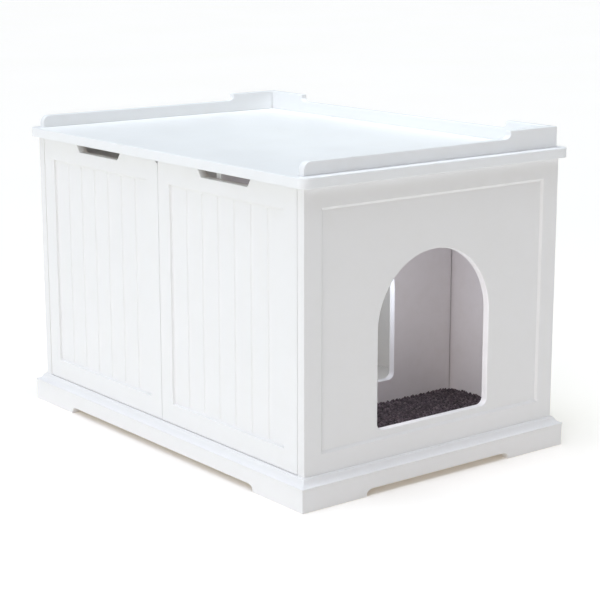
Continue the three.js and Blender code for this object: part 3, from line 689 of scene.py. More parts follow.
def make_rails():
    step = RY - RAIL_STEP
    side = [(RAIL_FRONT, TOP_Z), (RY, TOP_Z)]
    side += arc(RY - 2.2, RAIL_HIGH - 2.2, 2.2, 2.2, 0, 90, 6)
    side += arc(step + 1.8, RAIL_HIGH - 1.8, 1.8, 1.8, 90, 180, 6)
    side += arc(step - 12, RAIL_LOW + 7, 12, 7, 0, -90, 16)
    side += arc(RAIL_FRONT + RAIL_FRONT_R, RAIL_LOW - RAIL_FRONT_R, RAIL_FRONT_R, RAIL_FRONT_R, 90, 180, 20)
    for tag, sx in (("left", -1.0), ("right", 1.0)):
        s = Shape(f"rail_{tag}", along_x(sx))
        rings = s.wall(side, RX - THIN, RX, 1.7, 1.7, seg=5, shaper=seated)
        s.cap(rings[0])
        s.cap(rings[-1])
        finish_shape(s, TOP_PAINT, "cabinet", [f"gallery_rail_{tag}"], "paint_top")
    inner, step = RX - THIN - 0.5, RX - RAIL_STEP
    rear = [(-inner, TOP_Z), (inner, TOP_Z), (inner, RAIL_HIGH)]
    rear += arc(step + 1.8, RAIL_HIGH - 1.8, 1.8, 1.8, 90, 180, 6)
    rear += arc(step - 12, RAIL_LOW + 7, 12, 7, 0, -90, 16)
    rear += arc(-step + 12, RAIL_LOW + 7, 12, 7, 270, 180, 16)
    rear += arc(-step - 1.8, RAIL_HIGH - 1.8, 1.8, 1.8, 0, 90, 6)
    rear += [(-inner, RAIL_HIGH)]

    def butt(loop, pts, off):
        out = []
        for (u0, v0), (u, v) in zip(loop, seated(loop, pts, off)):
            if abs(abs(u0) - inner) < 1e-6:      # the ends butt against the side rails
                u = math.copysign(inner - 0.12 * min(off, 1.6), u0)
            out.append((u, v))
        return out

    s = Shape("rail_rear", along_y())
    rings = s.wall(rear, RY - THIN, RY, 1.7, 1.7, seg=5, shaper=butt)
    s.cap(rings[0])
    s.cap(rings[-1])
    finish_shape(s, TOP_PAINT, "cabinet", ["gallery_rail_rear"], "paint_top")


make_rails()


# ------------------------------------------------------------------ end panels
FIELD_PROFILE = [(-0.5, 0.0, 0.0), (-0.15, 0.05, 0.5), (0.18, 0.24, 1.0), (0.5, 0.50, 0.3), (3.4, 3.02, 0.0), (3.8, 3.32, 0.0),
                 (4.25, 3.46, 0.0), (4.8, 3.5, 0.0)]


def make_end(side):
    tag = "left" if side < 0 else "arch"
    s = Shape(f"end_panel_{tag}", along_x(side))
    outline = rect(-HY, HY, SIDE_FOOT, TOP_UNDER)
    rings = s.wall(outline, INX, HX, 0.7, 0.9, seg=5)
    field = rect(-HY + FIELD_INSET, HY - FIELD_INSET, FIELD_Z0, FIELD_Z1)
    down = [s.ring(inward(field, i), HX - d, wear=k, cut=0.0 if d in (0.0, 3.5) else 0.7) for i, d, k in FIELD_PROFILE]
    s.lofted(down)
    floor = Ring(down[-1].ids, down[-1].flat)
    holes_in = []
    holes_out = []
    if side > 0:
        opening = arch(ARCH_HALF, ARCH_SILL, ARCH_SPRING, ARCH_CORNER_R)[::-1]
        through = s.wall(opening, HX - FIELD_DEEP, INX, 1.3, 1.0, seg=5, cut=0.6)
        holes_out.append(through[0])
        holes_in.append(through[-1])
    s.cap(floor, holes_out)
    s.cap(rings[-1], [down[0]])
    for y in (-205.0, 205.0):
        holes_in.append(s.pocket(y, TOP_UNDER - 20, 7.8, INX, INX + 12.5, 48))
    for y in (-150.0, 150.0):
        holes_in.append(s.pocket(y, BASE_TOP - BOARD / 2, 3.8, INX, INX + 10.2, 24))
    s.cap(rings[0], holes_in)
    finish_shape(s, END_PAINT, "cabinet", [f"side_panel_{tag}"], "paint_panels", inner=lambda p: abs(p[0]) < INX + 0.05)


make_end(-1.0)
make_end(1.0)


# ------------------------------------------------------------------ back, bottom, divider
def make_inner_boards():
    s = Shape("back_board", along_y())
    rings = s.wall(rect(-INX, INX, BASE_TOP, TOP_UNDER), BACK_IN, HY, 0.5, 0.7, seg=3)
    s.cap(rings[0])
    s.cap(rings[-1])
    finish_shape(s, INNER_PAINT, "cabinet", ["back_panel"], "paint_inner", inner=lambda p: p[1] < BACK_IN + 0.1)

    s = Shape("bottom_board", along_z)
    rings = s.wall(rect(-INX, INX, -HY, HY), BASE_TOP - BOARD, BASE_TOP, 0.5, 0.6, seg=3)
    upper = [s.pocket(sx * PIVOT_X, PIVOT_Y, 4.7, BASE_TOP, BASE_TOP - 10.3, lip=0.0) for sx in (-1, 1)]
    lower = [s.pocket(sx * (INX - 34.0), y, 7.8, BASE_TOP - BOARD, BASE_TOP - BOARD + 12.5, 48)
             for sx in (-1, 1) for y in (-150.0, 150.0)]
    s.cap(rings[-1], upper)
    s.cap(rings[0], lower)
    finish_shape(s, INNER_PAINT, "cabinet", ["bottom_panel"], "paint_inner", inner=lambda p: p[1] > -HY + 0.8)

    s = Shape("divider_board", along_x())
    rings = s.wall(rect(DIV_FRONT, DIV_BACK, BASE_TOP, TOP_UNDER), DIV_RIGHT - THIN, DIV_RIGHT, 0.9, 0.9, seg=4)
    opening = arch(ARCH_HALF, DOORWAY_SILL, DOORWAY_SPRING, ARCH_CORNER_R)[::-1]
    through = s.wall(opening, DIV_RIGHT - THIN, DIV_RIGHT, 1.0, 1.0, seg=4, cut=0.5)
    for edge, hole, w in ((rings[0], through[0], DIV_RIGHT - THIN), (rings[-1], through[-1], DIV_RIGHT)):
        band = s.ring(inward(edge.flat, 1.6), w)
        s.strip(edge, band)
        s.cap(band, [hole])
    finish_shape(s, INNER_PAINT, "cabinet", ["divider_panel"], "paint_inner", inner=lambda p: p[1] > DIV_FRONT + 1.0)


make_inner_boards()


# ------------------------------------------------------------------ doors
DOOR_PROFILE = [(-0.3, 0.0, 0.0), (-0.08, 0.04, 0.5), (0.1, 0.18, 1.0), (0.22, 0.42, 0.3), (0.66, 3.0, 0.0), (1.0, 3.42, 0.0),
                (1.9, 3.78, 0.0), (3.4, 3.96, 0.0), (4.4, 4.0, 0.0)]
GROOVE = [(-2.15, 0.0), (-1.85, 0.05), (-1.55, 0.24), (-1.25, 0.60), (-0.55, 1.62), (-0.28, 1.90), (0.0, 1.98),
          (0.28, 1.90), (0.55, 1.62), (1.25, 0.60), (1.55, 0.24), (1.85, 0.05), (2.15, 0.0)]


def make_door(side):
    tag = "left" if side < 0 else "right"
    body = f"door_{tag}"
    s = Shape(f"door_panel_{tag}", along_y(side))
    face = -HY
    # outline, counter-clockwise in (x, z)
    m = DOOR_MID
    slope = (NOTCH_TOP - NOTCH_BOTTOM) / (DOOR_Z1 - NOTCH_Z)
    lip = 0.9                       # the notch's upper corners are eased
    turn = math.atan2(DOOR_Z1 - NOTCH_Z, NOTCH_TOP - NOTCH_BOTTOM)

    def fillet(px, pz, r, a0, a1, steps=6):
        return arc(px, pz, r, r, a0, a1, steps)

    outline = [(DOOR_X0, DOOR_Z0), (DOOR_X1, DOOR_Z0), (DOOR_X1, DOOR_Z1)]
    # right-hand side of the notch, going left along the top edge
    outline += [(m + NOTCH_TOP + lip, DOOR_Z1), (m + NOTCH_TOP + 0.25, DOOR_Z1 - 0.2),
                (m + NOTCH_TOP - slope * lip, DOOR_Z1 - lip)]
    # lower right corner of the notch: arc between the sloping side and the floor
    r = 4.0
    sweep = math.degrees(turn)
    # centre lies r above the floor and r inside the sloping side
    cx = m + NOTCH_BOTTOM - r / math.tan(math.radians((180 - sweep) / 2))
    lower = fillet(cx, NOTCH_Z + r, r, -(90 - sweep), -90, 8)
    outline += lower
    outline += [(2 * m - x, z) for x, z in reversed(lower)]
    outline += [(m - NOTCH_TOP + slope * lip, DOOR_Z1 - lip), (m - NOTCH_TOP - 0.25, DOOR_Z1 - 0.2),
                (m - NOTCH_TOP - lip, DOOR_Z1)]
    if side < 0:
        outline += [(DOOR_X0 + 9.0, DOOR_Z1), (DOOR_X0, DOOR_Z1 - 7.2)]
    else:
        outline += [(DOOR_X0 + 2.0, DOOR_Z1), (DOOR_X0, DOOR_Z1 - 2.6)]
    rings = s.wall(outline, face, DOOR_BACK, 0.8, 0.7, seg=4)

    # beaded field
    pitch = (DF_X1 - DF_X0) / BOARDS
    grooves = [DF_X0 + pitch * k for k in range(1, BOARDS)]
    rims = [x + dx for x in grooves for dx in (GROOVE[0][0], GROOVE[-1][0])]

    def field_loop(inset):
        x0, x1, z0, z1 = DF_X0 + inset, DF_X1 - inset, DF_Z0 + inset, DF_Z1 - inset
        return ([(x0, z0)] + [(x, z0) for x in rims] + [(x1, z0), (x1, z1)]
                + [(x, z1) for x in reversed(rims)] + [(x0, z1)])

    down = []
    for inset, deep, k in DOOR_PROFILE:
        down.append(s.ring(field_loop(inset), face + deep, wear=k, cut=0.0 if deep in (0.0, 4.0) else 0.7))
    s.lofted(down)
    s.cap(Ring(rings[0].ids, rings[0].flat), [Ring(down[0].ids, down[0].flat)])
    floor = down[-1]
    n = len(rims)
    low = floor.ids[0:n + 2]                         # left to right along the bottom
    high = [floor.ids[-1]] + list(reversed(floor.ids[n + 3:-1])) + [floor.ids[n + 2]]
    z0, z1 = DF_Z0 + DOOR_PROFILE[-1][0], DF_Z1 - DOOR_PROFILE[-1][0]
    # flats between the grooves
    for k in range(0, n + 1, 2):
        s.faces.append((low[k], low[k + 1], high[k + 1], high[k]))
    # grooves
    for g, x in enumerate(grooves):
        a = s.ring([(x + dx, z0) for dx, _ in GROOVE[1:-1]], [face + DF_DEEP + d for _, d in GROOVE[1:-1]], cut=0.8)
        b = s.ring([(x + dx, z1) for dx, _ in GROOVE[1:-1]], [face + DF_DEEP + d for _, d in GROOVE[1:-1]], cut=0.8)
        lo_ids = [low[1 + 2 * g]] + a.ids + [low[2 + 2 * g]]
        hi_ids = [high[1 + 2 * g]] + b.ids + [high[2 + 2 * g]]
        for i in range(len(lo_ids) - 1):
            s.faces.append((lo_ids[i], lo_ids[i + 1], hi_ids[i + 1], hi_ids[i]))
        s.faces.append(tuple(lo_ids))
        s.faces.append(tuple(hi_ids))
    # back face, with the strike screw's hole
    back = s.pocket(CATCH_X, STRIKE_Z, 1.8, DOOR_BACK, DOOR_BACK - 9.5, 20)
    s.cap(rings[-1], [back])
    finish_shape(s, BODY_PAINT, body, [f"door_{tag}"], "paint_panels", sharp=42.0, inner=lambda p: p[1] > DOOR_BACK - 0.05,
                 bare=lambda p: abs(abs(p[0]) - DOOR_MID) < NOTCH_TOP + 0.3 and NOTCH_Z - 0.1 < p[2] < DOOR_Z1 - 0.1 and face + 1.0 < p[1])


make_door(-1.0)
make_door(1.0)


# ------------------------------------------------------------------ plinth
MOULD = [(SKIRT, 33.0), (SKIRT + 0.15, 33.35), (SKIRT + 0.55, 33.6), (NOSE - 0.35, 33.85), (NOSE - 0.1, 34.15), (NOSE, 34.6),
         (NOSE, 35.1), (NOSE - 0.12, 35.55), (NOSE - 0.45, 35.9), (NOSE - 1.0, 36.08), (13.0, 36.2), (12.2, 36.36), (11.3, 36.6),
         (10.4, 36.98), (9.5, 37.5), (8.6, 38.15), (7.7, 38.95), (6.9, 39.85), (6.2, 40.8), (5.6, 41.8), (5.1, 42.8),
         (4.7, 43.6), (4.45, 44.05), (4.2, 44.3), (3.5, 44.42), (3.15, 44.6), (3.0, 44.95), (2.95, 45.6), (2.75, 45.9), (2.4, 46.0)]
CORNER_R = 1.3
MITRE_GAP = 0.07


def foot_line(half_cut):
    """The lower edge between the feet, from left to right."""
    pts = [(-half_cut, 0.0)]
    pts += arc(-half_cut + CUT_RX, CUT_STEP, CUT_RX, CUT_H - CUT_STEP, 180, 90, 14)
    pts += arc(half_cut - CUT_RX, CUT_STEP, CUT_RX, CUT_H - CUT_STEP, 90, 0, 14)
    pts.append((half_cut, 0.0))
    return pts


def make_plinth(name, node, half, cut_half, place):
    """One mitred board. `along` runs the length, `out` is the distance beyond the carcass."""
    s = Shape(name, None)
    turns = [45.0, 30.0, 15.0, 0.0]

    def corner(out, deg):
        if out < 1e-9:
            return half - MITRE_GAP, 0.0
        r = CORNER_R * min(1.0, out / SKIRT)
        a = math.radians(deg)
        gap = MITRE_GAP * math.sin(a) / math.sin(math.radians(45))
        return half + out - r + r * math.sin(a) - gap, out - r + r * math.cos(a)

    def add(along, out, z, wear=0.0, cut=0.0):
        s.points.append(place(along, out, z))
        s.wear.append(wear)
        s.cut.append(cut)
        return len(s.points) - 1

    cut_line = foot_line(cut_half)
    # left-of-travel normals of the open line, for rounding the lower edge
    normals = []
    for i, p in enumerate(cut_line):
        a = cut_line[i - 1] if i else (p[0] - 1, p[1])
        b = cut_line[i + 1] if i < len(cut_line) - 1 else (p[0] + 1, p[1])
        lu, lv = math.hypot(p[0] - a[0], p[1] - a[1]), math.hypot(b[0] - p[0], b[1] - p[1])
        n1 = (-(p[1] - a[1]) / lu, (p[0] - a[0]) / lu)
        n2 = (-(b[1] - p[1]) / lv, (b[0] - p[0]) / lv)
        k = 1 + n1[0] * n2[0] + n1[1] * n2[1]
        normals.append(((n1[0] + n2[0]) / k, (n1[1] + n2[1]) / k))

    def lower_row(out, up, wear=0.0):
        row = [add(-corner(out, d)[0], corner(out, d)[1], up, wear) for d in turns]
        row += [add(p[0] + n[0] * up, out, p[1] + n[1] * up, wear) for p, n in zip(cut_line, normals)]
        row += [add(corner(out, d)[0], corner(out, d)[1], up, wear) for d in reversed(turns)]
        return row

    def level_row(out, z, wear=0.0):
        row = [add(-corner(out, d)[0], corner(out, d)[1], z, wear) for d in turns]
        row += [add(corner(out, d)[0], corner(out, d)[1], z, wear) for d in reversed(turns)]
        return row

    r = 0.9
    rows = []
    for i in range(5):
        t = math.radians(90.0 * i / 4)
        rows.append(lower_row(SKIRT - r * (1 - math.sin(t)), r * (1 - math.cos(t)), math.sin(2 * t) * 0.8))
    inner = lower_row(0.0, 0.0)
    for a, b in zip([inner] + rows, rows):
        for i in range(len(a) - 1):
            s.faces.append((a[i], a[i + 1], b[i + 1], b[i]))
    # skirt: rounded corners as strips, the middle as one flat face with the foot line
    low, top = rows[-1], level_row(MOULD[0][0], MOULD[0][1])
    k = len(turns)
    for i in range(k - 1):
        s.faces.append((low[i], low[i + 1], top[i + 1], top[i]))
        s.faces.append((low[-1 - i], low[-2 - i], top[-2 - i], top[-1 - i]))
    ids = low[k - 1:len(low) - k + 1] + [top[k], top[k - 1]]
    run = half + SKIRT - CORNER_R
    flat = [(-run, r)] + [(p[0] + n[0] * r, p[1] + n[1] * r) for p, n in zip(cut_line, normals)] + [(run, r), (run, MOULD[0][1]), (-run, MOULD[0][1])]
    s.cap(Ring(ids, flat))
    # moulding
    levels = [top]
    for out, z in MOULD[1:]:
        levels.append(level_row(out, z, 0.9 if 33.9 < z < 35.8 else 0.0))
    for a, b in zip(levels, levels[1:]):
        for i in range(len(a) - 1):
            s.faces.append((a[i], a[i + 1], b[i + 1], b[i]))
    # top ledge back to the carcass, and the back face
    last = levels[-1]
    back = level_row(0.0, BASE_TOP)
    for i in range(len(last) - 1):
        s.faces.append((last[i], last[i + 1], back[i + 1], back[i]))
    ids = [inner[k - 1]] + inner[k:len(inner) - k] + [inner[len(inner) - k], back[k], back[k - 1]]
    end = half - MITRE_GAP
    flat = [(-end, 0.0)] + cut_line + [(end, 0.0), (end, BASE_TOP), (-end, BASE_TOP)]
    s.cap(Ring(ids, flat))
    # mitred ends
    for e in (0, -1):
        edge = [inner[e]] + [row[e] for row in rows] + [row[e] for row in levels] + [back[e]]
        s.faces.append(tuple(edge))
    finish_shape(s, PLINTH_PAINT, "cabinet", [node], "paint_plinth", sharp=34.0)


CUT_X = HX + SKIRT - FOOT_LEN
CUT_Y = HY + SKIRT - FOOT_LEN
make_plinth("plinth_board_front", "plinth_front", HX, CUT_X, lambda a, o, z: (a, -HY - o, z))
make_plinth("plinth_board_back", "plinth_back", HX, CUT_X, lambda a, o, z: (a, HY + o, z))
make_plinth("plinth_board_right", "plinth_right", HY, CUT_Y, lambda a, o, z: (HX + o, a, z))
make_plinth("plinth_board_left", "plinth_left", HY, CUT_Y, lambda a, o, z: (-HX - o, a, z))


def make_blocks():
    for tag, sx, sy in (("front_left", -1, -1), ("front_right", 1, -1), ("rear_left", -1, 1), ("rear_right", 1, 1)):
        x, y, b = sx * INX, sy * HY, 38.0
        loop = [(x, y), (x - sx * b, y), (x - sx * b, y - sy * 14), (x - sx * 14, y - sy * b), (x, y - sy * b)]
        if sx * sy < 0:
            loop.reverse()
        s = Shape(f"glue_block_{tag}", along_z)
        area = sum(loop[i - 1][0] * loop[i][1] - loop[i][0] * loop[i - 1][1] for i in range(len(loop)))
        if area < 0:
            loop.reverse()
        rings = s.wall(loop, 0.0, BASE_TOP - BOARD, 0.6, 0.5, seg=2)
        s.cap(rings[0])
        s.cap(rings[-1])
        finish_shape(s, BLOCK_WOOD, "cabinet", [f"corner_block_{tag}"], "raw_wood")


make_blocks()


# ------------------------------------------------------------------ door hardware
def make_hardware():
    for tag, sx in (("left", -1.0), ("right", 1.0)):
        x = sx * PIVOT_X
        body = f"door_{tag}"
        turned(f"bush_{tag}_top", [(0, 9.2), (2.6, 9.2), (2.6, 0.35), (2.9, 0.0), (4.05, 0.0), (4.3, 0.1), (4.4, 0.35),
                                   (4.4, 9.9), (3.9, 10.4), (0, 10.4)],
               (x, PIVOT_Y, TOP_UNDER - 0.4), (0, 0, 1), NYLON, "cabinet", [f"pivot_bush_{tag}_top"], "nylon")
        turned(f"bush_{tag}_bottom", [(0, 0), (3.9, 0), (4.4, 0.5), (4.4, 9.95), (4.3, 10.2), (4.05, 10.3),
                                      (2.9, 10.3), (2.6, 9.95), (2.6, 1.2), (0, 1.2)],
               (x, PIVOT_Y, BASE_TOP - 10.0), (0, 0, 1), NYLON, "cabinet", [f"pivot_bush_{tag}_bottom"], "nylon")
        pin = [(0, 0), (2.1, 0), (2.5, 0.5), (2.5, 11.8), (2.42, 12.0), (2.42, 12.4), (2.5, 12.6), (2.5, 20.3), (2.36, 20.8),
               (2.0, 21.2), (0, 21.2)]
        turned(f"pin_{tag}_top", pin, (x, PIVOT_Y, DOOR_Z1 - 12.2), (0, 0, 1), STEEL, body, [f"pivot_pin_{tag}_top"], "steel")
        turned(f"pin_{tag}_bottom", pin, (x, PIVOT_Y, DOOR_Z0 + 12.2), (0, 0, -1), STEEL, body, [f"pivot_pin_{tag}_bottom"], "steel")

        # magnetic catch: housing with two ears, a magnet between pole plates
        cx, cy = sx * CATCH_X, (CATCH_Y0 + CATCH_Y1) / 2
        s = Shape(f"catch_shell_{tag}", along_z)
        z0, z1, ear = TOP_UNDER - 14.0, TOP_UNDER, 3.0
        core = rounded_rect(cx - 19, cx + 19, CATCH_Y0, CATCH_Y1, 1.2, 5)
        rings = s.wall(core, z0, z1, 0.8, 0.0, seg=3)
        s.cap(rings[0])
        s.cap(rings[-1])
        shell = finish_shape(s, CATCH_NYLON, "cabinet", [f"catch_housing_{tag}"], "nylon", sharp=35.0)
        for k, ex in (("a", -24.0), ("b", 24.0)):
            e = Shape(f"catch_ear_{tag}_{k}", along_z)
            sign = -1.0 if ex < 0 else 1.0
            loop = [(cx + sign * 17.0, CATCH_Y0 + 2), (cx + sign * 24.0, CATCH_Y0 + 2)]
            end = arc(cx + sign * 25.0, cy + 1.0, 5.0, 6.1, -90, 90, 16) if sign > 0 else arc(cx - 25.0, cy + 1.0, 5.0, 6.1, -90, -270, 16)
            loop = [(cx + sign * 17.0, end[0][1])] + end + [(cx + sign * 17.0, end[-1][1])]
            area = sum(loop[i - 1][0] * loop[i][1] - loop[i][0] * loop[i - 1][1] for i in range(len(loop)))
            if area < 0:
                loop.reverse()
            rings = e.wall(loop, z1 - ear, z1, 0.6, 0.0, seg=3)
            hole = circle(cx + ex, cy, 1.9, 28)[::-1]
            through = e.wall(hole, z1 - ear, z1, 0.3, 0.0, seg=2)
            e.cap(rings[0], [through[0]])
            e.cap(rings[-1], [through[-1]])
            finish_shape(e, CATCH_NYLON, "cabinet", [f"catch_housing_{tag}"], "nylon", sharp=35.0)
        carved(shell, [block((cx, CATCH_Y0 + 4.65, TOP_UNDER - 8.0), (15.3, 5.65, 4.3))])

        y0, mz = CATCH_Y0 - 1.0, TOP_UNDER - 12.0
        for k, (a, b, c0, c1, half, mat) in enumerate((
                (y0, CATCH_Y0 + 10, mz, mz + 1.6, 15.0, ZINC), (y0, CATCH_Y0 + 10, mz + 6.4, mz + 8.0, 15.0, ZINC),
                (y0 + 0.8, CATCH_Y0 + 10, mz + 1.65, mz + 6.35, 14.0, MAGNET))):
            p = Shape(f"catch_{('pole_lower', 'pole_upper', 'magnet_block')[k]}_{tag}", along_z)
            rings = p.wall(rounded_rect(cx - half, cx + half, a, b, 0.5, 3), c0, c1, 0.25, 0.25, seg=2)
            p.cap(rings[0])
            p.cap(rings[-1])
            finish_shape(p, mat, "cabinet", [f"catch_magnet_{tag}"], "magnet" if k == 2 else "zinc", sharp=35.0)

        for k, dx in (("a", -24.0), ("b", 24.0)):
            zt = TOP_UNDER - ear - 1.8
            screw = turned(f"catch_fixing_{tag}_{k}",
                           [(0, 0), (1.6, 0.02), (2.5, 0.18), (3.15, 0.6), (3.4, 1.15), (3.4, 1.7), (3.2, 1.8), (1.5, 1.8), (1.5, 12.4), (0, 13.6)],
                           (cx + dx, cy, zt), (0, 0, 1), ZINC, "cabinet", [f"catch_screw_{tag}_{k}"], "zinc", seg=36)
            carved(screw, [block((cx + dx, cy, zt), (2.0, 0.42, 0.95)), block((cx + dx, cy, zt), (0.42, 2.0, 0.95))])

        # strike plate and its screw on the back of the door
        p = Shape(f"strike_{tag}", along_y())
        rings = p.wall(rounded_rect(cx - 17, cx + 17, STRIKE_Z - 6, STRIKE_Z + 6, 2.0, 8), DOOR_BACK, DOOR_BACK + 1.4, 0.15, 0.35, seg=3)
        loop = circle(cx, STRIKE_Z, 2.1, 40)[::-1]
        dish = [p.ring(inward(loop, 1.8), DOOR_BACK + 1.4), p.ring(inward(loop, 1.65), DOOR_BACK + 1.38), p.ring(loop, DOOR_BACK + 0.1),
                p.ring(loop, DOOR_BACK)]
        p.lofted(dish)
        p.cap(rings[-1], [dish[0]])
        p.cap(rings[0], [dish[-1]])
        finish_shape(p, ZINC, body, [f"strike_plate_{tag}"], "zinc", sharp=35.0)
        screw = turned(f"strike_fixing_{tag}", [(0, 0), (2.0, 0.02), (3.0, 0.1), (3.2, 0.22), (1.5, 1.5), (1.5, 9.0), (0, 9.9)],
                       (cx, DOOR_BACK + 1.4, STRIKE_Z), (0, -1, 0), ZINC, body, [f"strike_screw_{tag}"], "zinc", seg=36)
        carved(screw, [block((cx, DOOR_BACK + 1.4, STRIKE_Z), (1.8, 0.8, 0.36)), block((cx, DOOR_BACK + 1.4, STRIKE_Z), (0.36, 0.8, 1.8))])


make_hardware()


def make_cams():
    def place(c, into, d):
        return tuple(a + b * d for a, b in zip(c, into))

    jobs = []
    for sx, tag in ((-1.0, "left"), (1.0, "arch")):
        for end, y in (("front", -205.0), ("rear", 205.0)):
            jobs.append((f"top", f"{tag}_{end}", (sx * INX, y, TOP_UNDER - 20.0), (sx, 0, 0), (0, 0, 1), 20.0))
        for end, y in (("front", -150.0), ("rear", 150.0)):
            jobs.append((f"base", f"{tag}_{end}", (sx * (INX - 34.0), y, BASE_TOP - BOARD), (0, 0, 1), (sx, 0, 0), 34.0))
    for kind, tag, centre, into, reach, run in jobs:
        face = place(centre, into, 0.2)
        cam = turned(f"{kind}_cam_lock_{tag}", [(0, 0), (5.2, 0), (5.4, 0.25), (6.2, 0.25), (6.4, 0), (7.2, 0), (7.5, 0.35), (7.5, 11.6), (7.1, 12), (0, 12)],
                     face, into, ZINC_CAST, "cabinet", [f"{kind}_cam_{tag}"], "zinc", seg=48)
        other = Vector(into).cross(Vector(reach))
        tools = []
        for a, b in ((Vector(reach), other), (other, Vector(reach))):
            half = tuple(abs(a[i]) * 4.2 + abs(b[i]) * 0.8 + abs(into[i]) * 2.2 for i in range(3))
            tools.append(block(face, half))
        carved(cam, tools)
        line = place(centre, into, BOARD / 2)
        start = tuple(l - r * 2.2 for l, r in zip(line, reach))
        joint = run + 2.2
        ribs = []
        h = joint + 0.2
        while h < joint + 7.8:
            ribs += [(2.7, h), (3.1, h + 0.35), (3.1, h + 0.5), (2.7, h + 0.85)]
            h += 1.1
        turned(f"{kind}_dowel_bolt_{tag}", [(0, 0), (2.9, 0), (3.2, 0.3), (3.2, 2.1), (2.9, 2.4), (1.9, 2.4), (1.9, 5.4), (2.6, 6.4), (2.6, joint - 1.2),
                                            (3.3, joint - 0.6), (3.0, joint)] + ribs + [(2.2, joint + 8.8), (1.4, joint + 9.6), (0, joint + 9.6)],
               start, reach, STEEL, "cabinet", [f"{kind}_bolt_{tag}"], "steel", seg=28)


make_cams()


# ------------------------------------------------------------------ entry mat
def make_mat():
    # backing: a thin cut sheet, its rim eased, lying on the bottom board
    base_z, back_t = BASE_TOP + 0.05, 1.7
    s = Shape("mat_backing", along_z)
    outline = rounded_rect(MAT_X0, MAT_X1, MAT_Y0, MAT_Y1, MAT_R, 20)
    rings = s.wall(outline, base_z, base_z + back_t, 0.25, 0.7, seg=3)
    s.cap(rings[0])
    s.cap(rings[-1])
    backing = finish_shape(s, RUBBER, "cabinet", ["entry_mat"], "carpet")

    # pile: arched loops of yarn in staggered rows
    rnd = random.Random(20)
    pitch_x, pitch_y = 4.5, 4.3
    inset = 1.9
    x0, x1, y0, y1, r = MAT_X0 + inset, MAT_X1 - inset, MAT_Y0 + inset, MAT_Y1 - inset, MAT_R - inset

    def held(x, y):
        dx = max(x0 + r - x, x - (x1 - r), 0.0)
        dy = max(y0 + r - y, y - (y1 - r), 0.0)
        return math.hypot(dx, dy) <= r

    points, faces, tone, rise = [], [], [], []
    sides, steps = 4, 5
    foot = base_z + back_t - 0.35
    rows = int((y1 - y0) / pitch_y)
    cols = int((x1 - x0) / pitch_x)
    for j in range(rows + 1):
        for i in range(cols + 1):
            x = x0 + (i + (0.5 if j % 2 else 0.0)) * (x1 - x0) / cols + rnd.uniform(-0.55, 0.55)
            y = y0 + j * (y1 - y0) / rows + rnd.uniform(-0.5, 0.5)
            if not held(x, y):
                continue
            a = rnd.gauss(0.0, 0.55) + (0.35 if j % 2 else -0.35)
            ca, sa = math.cos(a), math.sin(a)
            span = rnd.uniform(1.25, 1.65)
            top = min(MAT_T - back_t - 0.15, rnd.gauss(3.75, 0.28))
            yarn = rnd.uniform(0.98, 1.22)
            lean = rnd.gauss(0.0, 0.35)
            t_loop = min(1.0, max(0.0, rnd.gauss(0.45, 0.24)))
            if rnd.random() < 0.09:
                t_loop = rnd.uniform(0.85, 1.0)
            first = len(points)
            for k in range(steps + 1):
                t = math.pi * k / steps
                u = -span * math.cos(t)
                h = (top - yarn) * math.sin(t) ** 0.75 if 0 < k < steps else 0.0
                # tangent of the arch in (u, h)
                du, dh = span * math.sin(t), (top - yarn) * math.cos(t)
                length = math.hypot(du, dh)
                tu, th = du / length, dh / length
                for q in range(sides):
                    b = 2 * math.pi * (q + 0.5) / sides
                    e1, e2 = yarn * math.cos(b), yarn * math.sin(b) * 1.05
                    pu, pv, ph = u - th * e1, e2 + lean * math.sin(t), h + tu * e1
                    points.append((x + ca * pu - sa * pv, y + sa * pu + ca * pv, max(foot - 0.3, foot + ph)))
                    tone.append(t_loop)
                    rise.append(min(1.0, max(0.0, ph / top)))
            for k in range(steps):
                for q in range(sides):
                    a0, a1 = first + k * sides + q, first + k * sides + (q + 1) % sides
                    faces.append((a0, a1, a1 + sides, a0 + sides))
            faces.append(tuple(first + q for q in reversed(range(sides))))
            faces.append(tuple(first + steps * sides + q for q in range(sides)))
    me = bpy.data.meshes.new("mat_pile")
    me.from_pydata([(x * MM, y * MM, z * MM) for x, y, z in points], [], faces)
    for key, values in (("tone", tone), ("rise", rise)):
        layer = me.attributes.new(key, "FLOAT", "POINT")
        layer.data.foreach_set("value", values)
    bm = bmesh.new()
    bm.from_mesh(me)
    bmesh.ops.recalc_face_normals(bm, faces=bm.faces)
    bm.to_mesh(me)
    bm.free()
    me.polygons.foreach_set("use_smooth", [True] * len(me.polygons))
    me.materials.append(YARN)
    pile = bpy.data.objects.new("mat_pile", me)
    scene.collection.objects.link(pile)
    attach(pile, "cabinet")
    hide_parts("entry_mat")
    PIECES["mat_pile"] = pile
    width, length = (MAT_X1 - MAT_X0) * MM, (MAT_Y1 - MAT_Y0) * MM
    print("mat loops", len(points) // (sides * (steps + 1)), "triangles", len(points) // (sides * (steps + 1)) * (steps * sides * 2 + 4))


make_mat()


